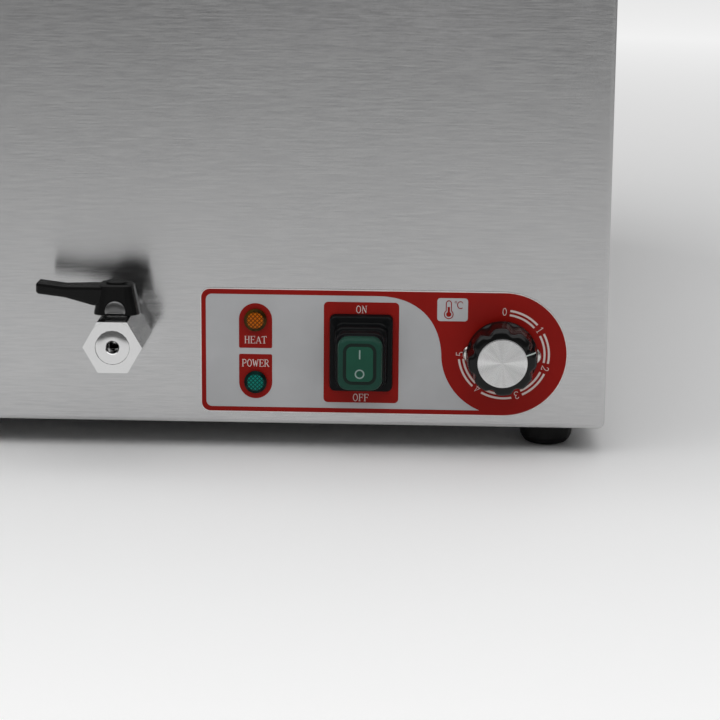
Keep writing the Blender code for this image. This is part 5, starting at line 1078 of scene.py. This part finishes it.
# Studio: pale floor and surround that fade to the photograph's white, and two large soft lamps
FLOOR_REACH = 4.0
FLOOR_TONE = (0.86, 0.86, 0.86)
FLOOR_ROUGHNESS = 0.60
PURE_WHITE = (1.0, 1.0, 1.0, 1.0)
FADE_START = 0.34
FADE_END = 1.8
FADE_GLOW = 0.66
FADE_IN_METAL = 0.12
SURROUND_LIGHT = 0.12
SURROUND_SEEN = 0.85
STUDIO_AIM = Vector((0.05, -0.25, 0.05))
# Each lamp's name, place, size and power
STUDIO_LAMPS = (
    ("overhead", (0.0, -0.6, 1.15), (3.2, 1.5), 21.0),
    ("back", (0.0, 0.6, 1.6), (1.8, 1.4), 8.0),
)


def floor_finish():
    """Pale paper that stays pale in the distance, beyond the lamps' reach."""
    made = Finish("floor_white", FLOOR_TONE, FLOOR_ROUGHNESS)
    x, y, _ = made.split(made.place)
    fade = made.ramp(made.distance(x, y), FADE_START, FADE_END, 0.0, FADE_GLOW)
    made.shader.inputs["Emission Color"].default_value = PURE_WHITE
    path = made.nodes.new("ShaderNodeLightPath")
    seen = made.math("MULTIPLY_ADD", path.outputs["Is Glossy Ray"], FADE_IN_METAL,
                     path.outputs["Is Camera Ray"])
    made.links.new(made.math("MULTIPLY", fade, seen), made.shader.inputs["Emission Strength"])
    return made


def lay_floor():
    mesh = bmesh.new()
    corners = [(-FLOOR_REACH, -FLOOR_REACH), (FLOOR_REACH, -FLOOR_REACH),
               (FLOOR_REACH, FLOOR_REACH), (-FLOOR_REACH, FLOOR_REACH)]
    mesh.faces.new([mesh.verts.new((x, y, 0.0)) for x, y in corners])
    data = bpy.data.meshes.new("floor")
    mesh.to_mesh(data)
    mesh.free()
    data.materials.append(floor_finish().material)
    floor = bpy.data.objects.new("floor", data)
    bpy.context.scene.collection.objects.link(floor)


def surround():
    """A world that lights faintly and is seen by the camera as pale."""
    world = bpy.data.worlds.new("surround")
    bpy.context.scene.world = world
    world.use_nodes = True
    nodes, links = world.node_tree.nodes, world.node_tree.links
    backdrop = nodes["Background"]
    backdrop.inputs["Color"].default_value = PURE_WHITE
    strength = nodes.new("ShaderNodeMapRange")
    strength.inputs["To Min"].default_value = SURROUND_LIGHT
    strength.inputs["To Max"].default_value = SURROUND_SEEN
    path = nodes.new("ShaderNodeLightPath")
    links.new(path.outputs["Is Camera Ray"], strength.inputs["Value"])
    links.new(strength.outputs["Result"], backdrop.inputs["Strength"])


def hang_lamps():
    for name, place, size, power in STUDIO_LAMPS:
        light = bpy.data.lights.new(name, "AREA")
        light.shape = "RECTANGLE"
        light.size, light.size_y = size
        light.energy = power
        lamp = bpy.data.objects.new(name, light)
        lamp.location = place
        lamp.rotation_euler = (STUDIO_AIM - Vector(place)).to_track_quat("-Z", "Y").to_euler()
        bpy.context.scene.collection.objects.link(lamp)


# Camera, as the photograph was taken
CAMERA_FROM_DIAL = Vector((-0.02603, -1.08326, 0.24834))
CAMERA_YAW = math.radians(2.137)
CAMERA_PITCH = math.radians(13.092)
CAMERA_ROLL = math.radians(0.453)
CAMERA_LENS = 120.06
CAMERA_SENSOR = 36.0


def camera():
    data = bpy.data.cameras.new("camera")
    data.lens, data.sensor_width, data.sensor_height = CAMERA_LENS, CAMERA_SENSOR, CAMERA_SENSOR
    made = bpy.data.objects.new("camera", data)
    forward = Vector((-math.sin(CAMERA_YAW) * math.cos(CAMERA_PITCH),
                      math.cos(CAMERA_YAW) * math.cos(CAMERA_PITCH), -math.sin(CAMERA_PITCH)))
    right = Vector((math.cos(CAMERA_YAW), math.sin(CAMERA_YAW), 0.0))
    up = right.cross(forward)
    rolled_right = right * math.cos(CAMERA_ROLL) + up * math.sin(CAMERA_ROLL)
    rolled_up = up * math.cos(CAMERA_ROLL) - right * math.sin(CAMERA_ROLL)
    axes = Matrix((rolled_right, rolled_up, -forward)).transposed()
    made.matrix_world = Matrix.Translation(DIAL_PLACE + CAMERA_FROM_DIAL) @ axes.to_4x4()
    bpy.context.scene.collection.objects.link(made)
    bpy.context.scene.camera = made


camera()
lay_floor()
surround()
hang_lamps()
bpy.context.scene.view_settings.view_transform = "Standard"
dress_nodes()
print_colours()
print_lettering()
soft_boot()
knob()
pointer()
screw_heads()
tap_front()
lever_trim()
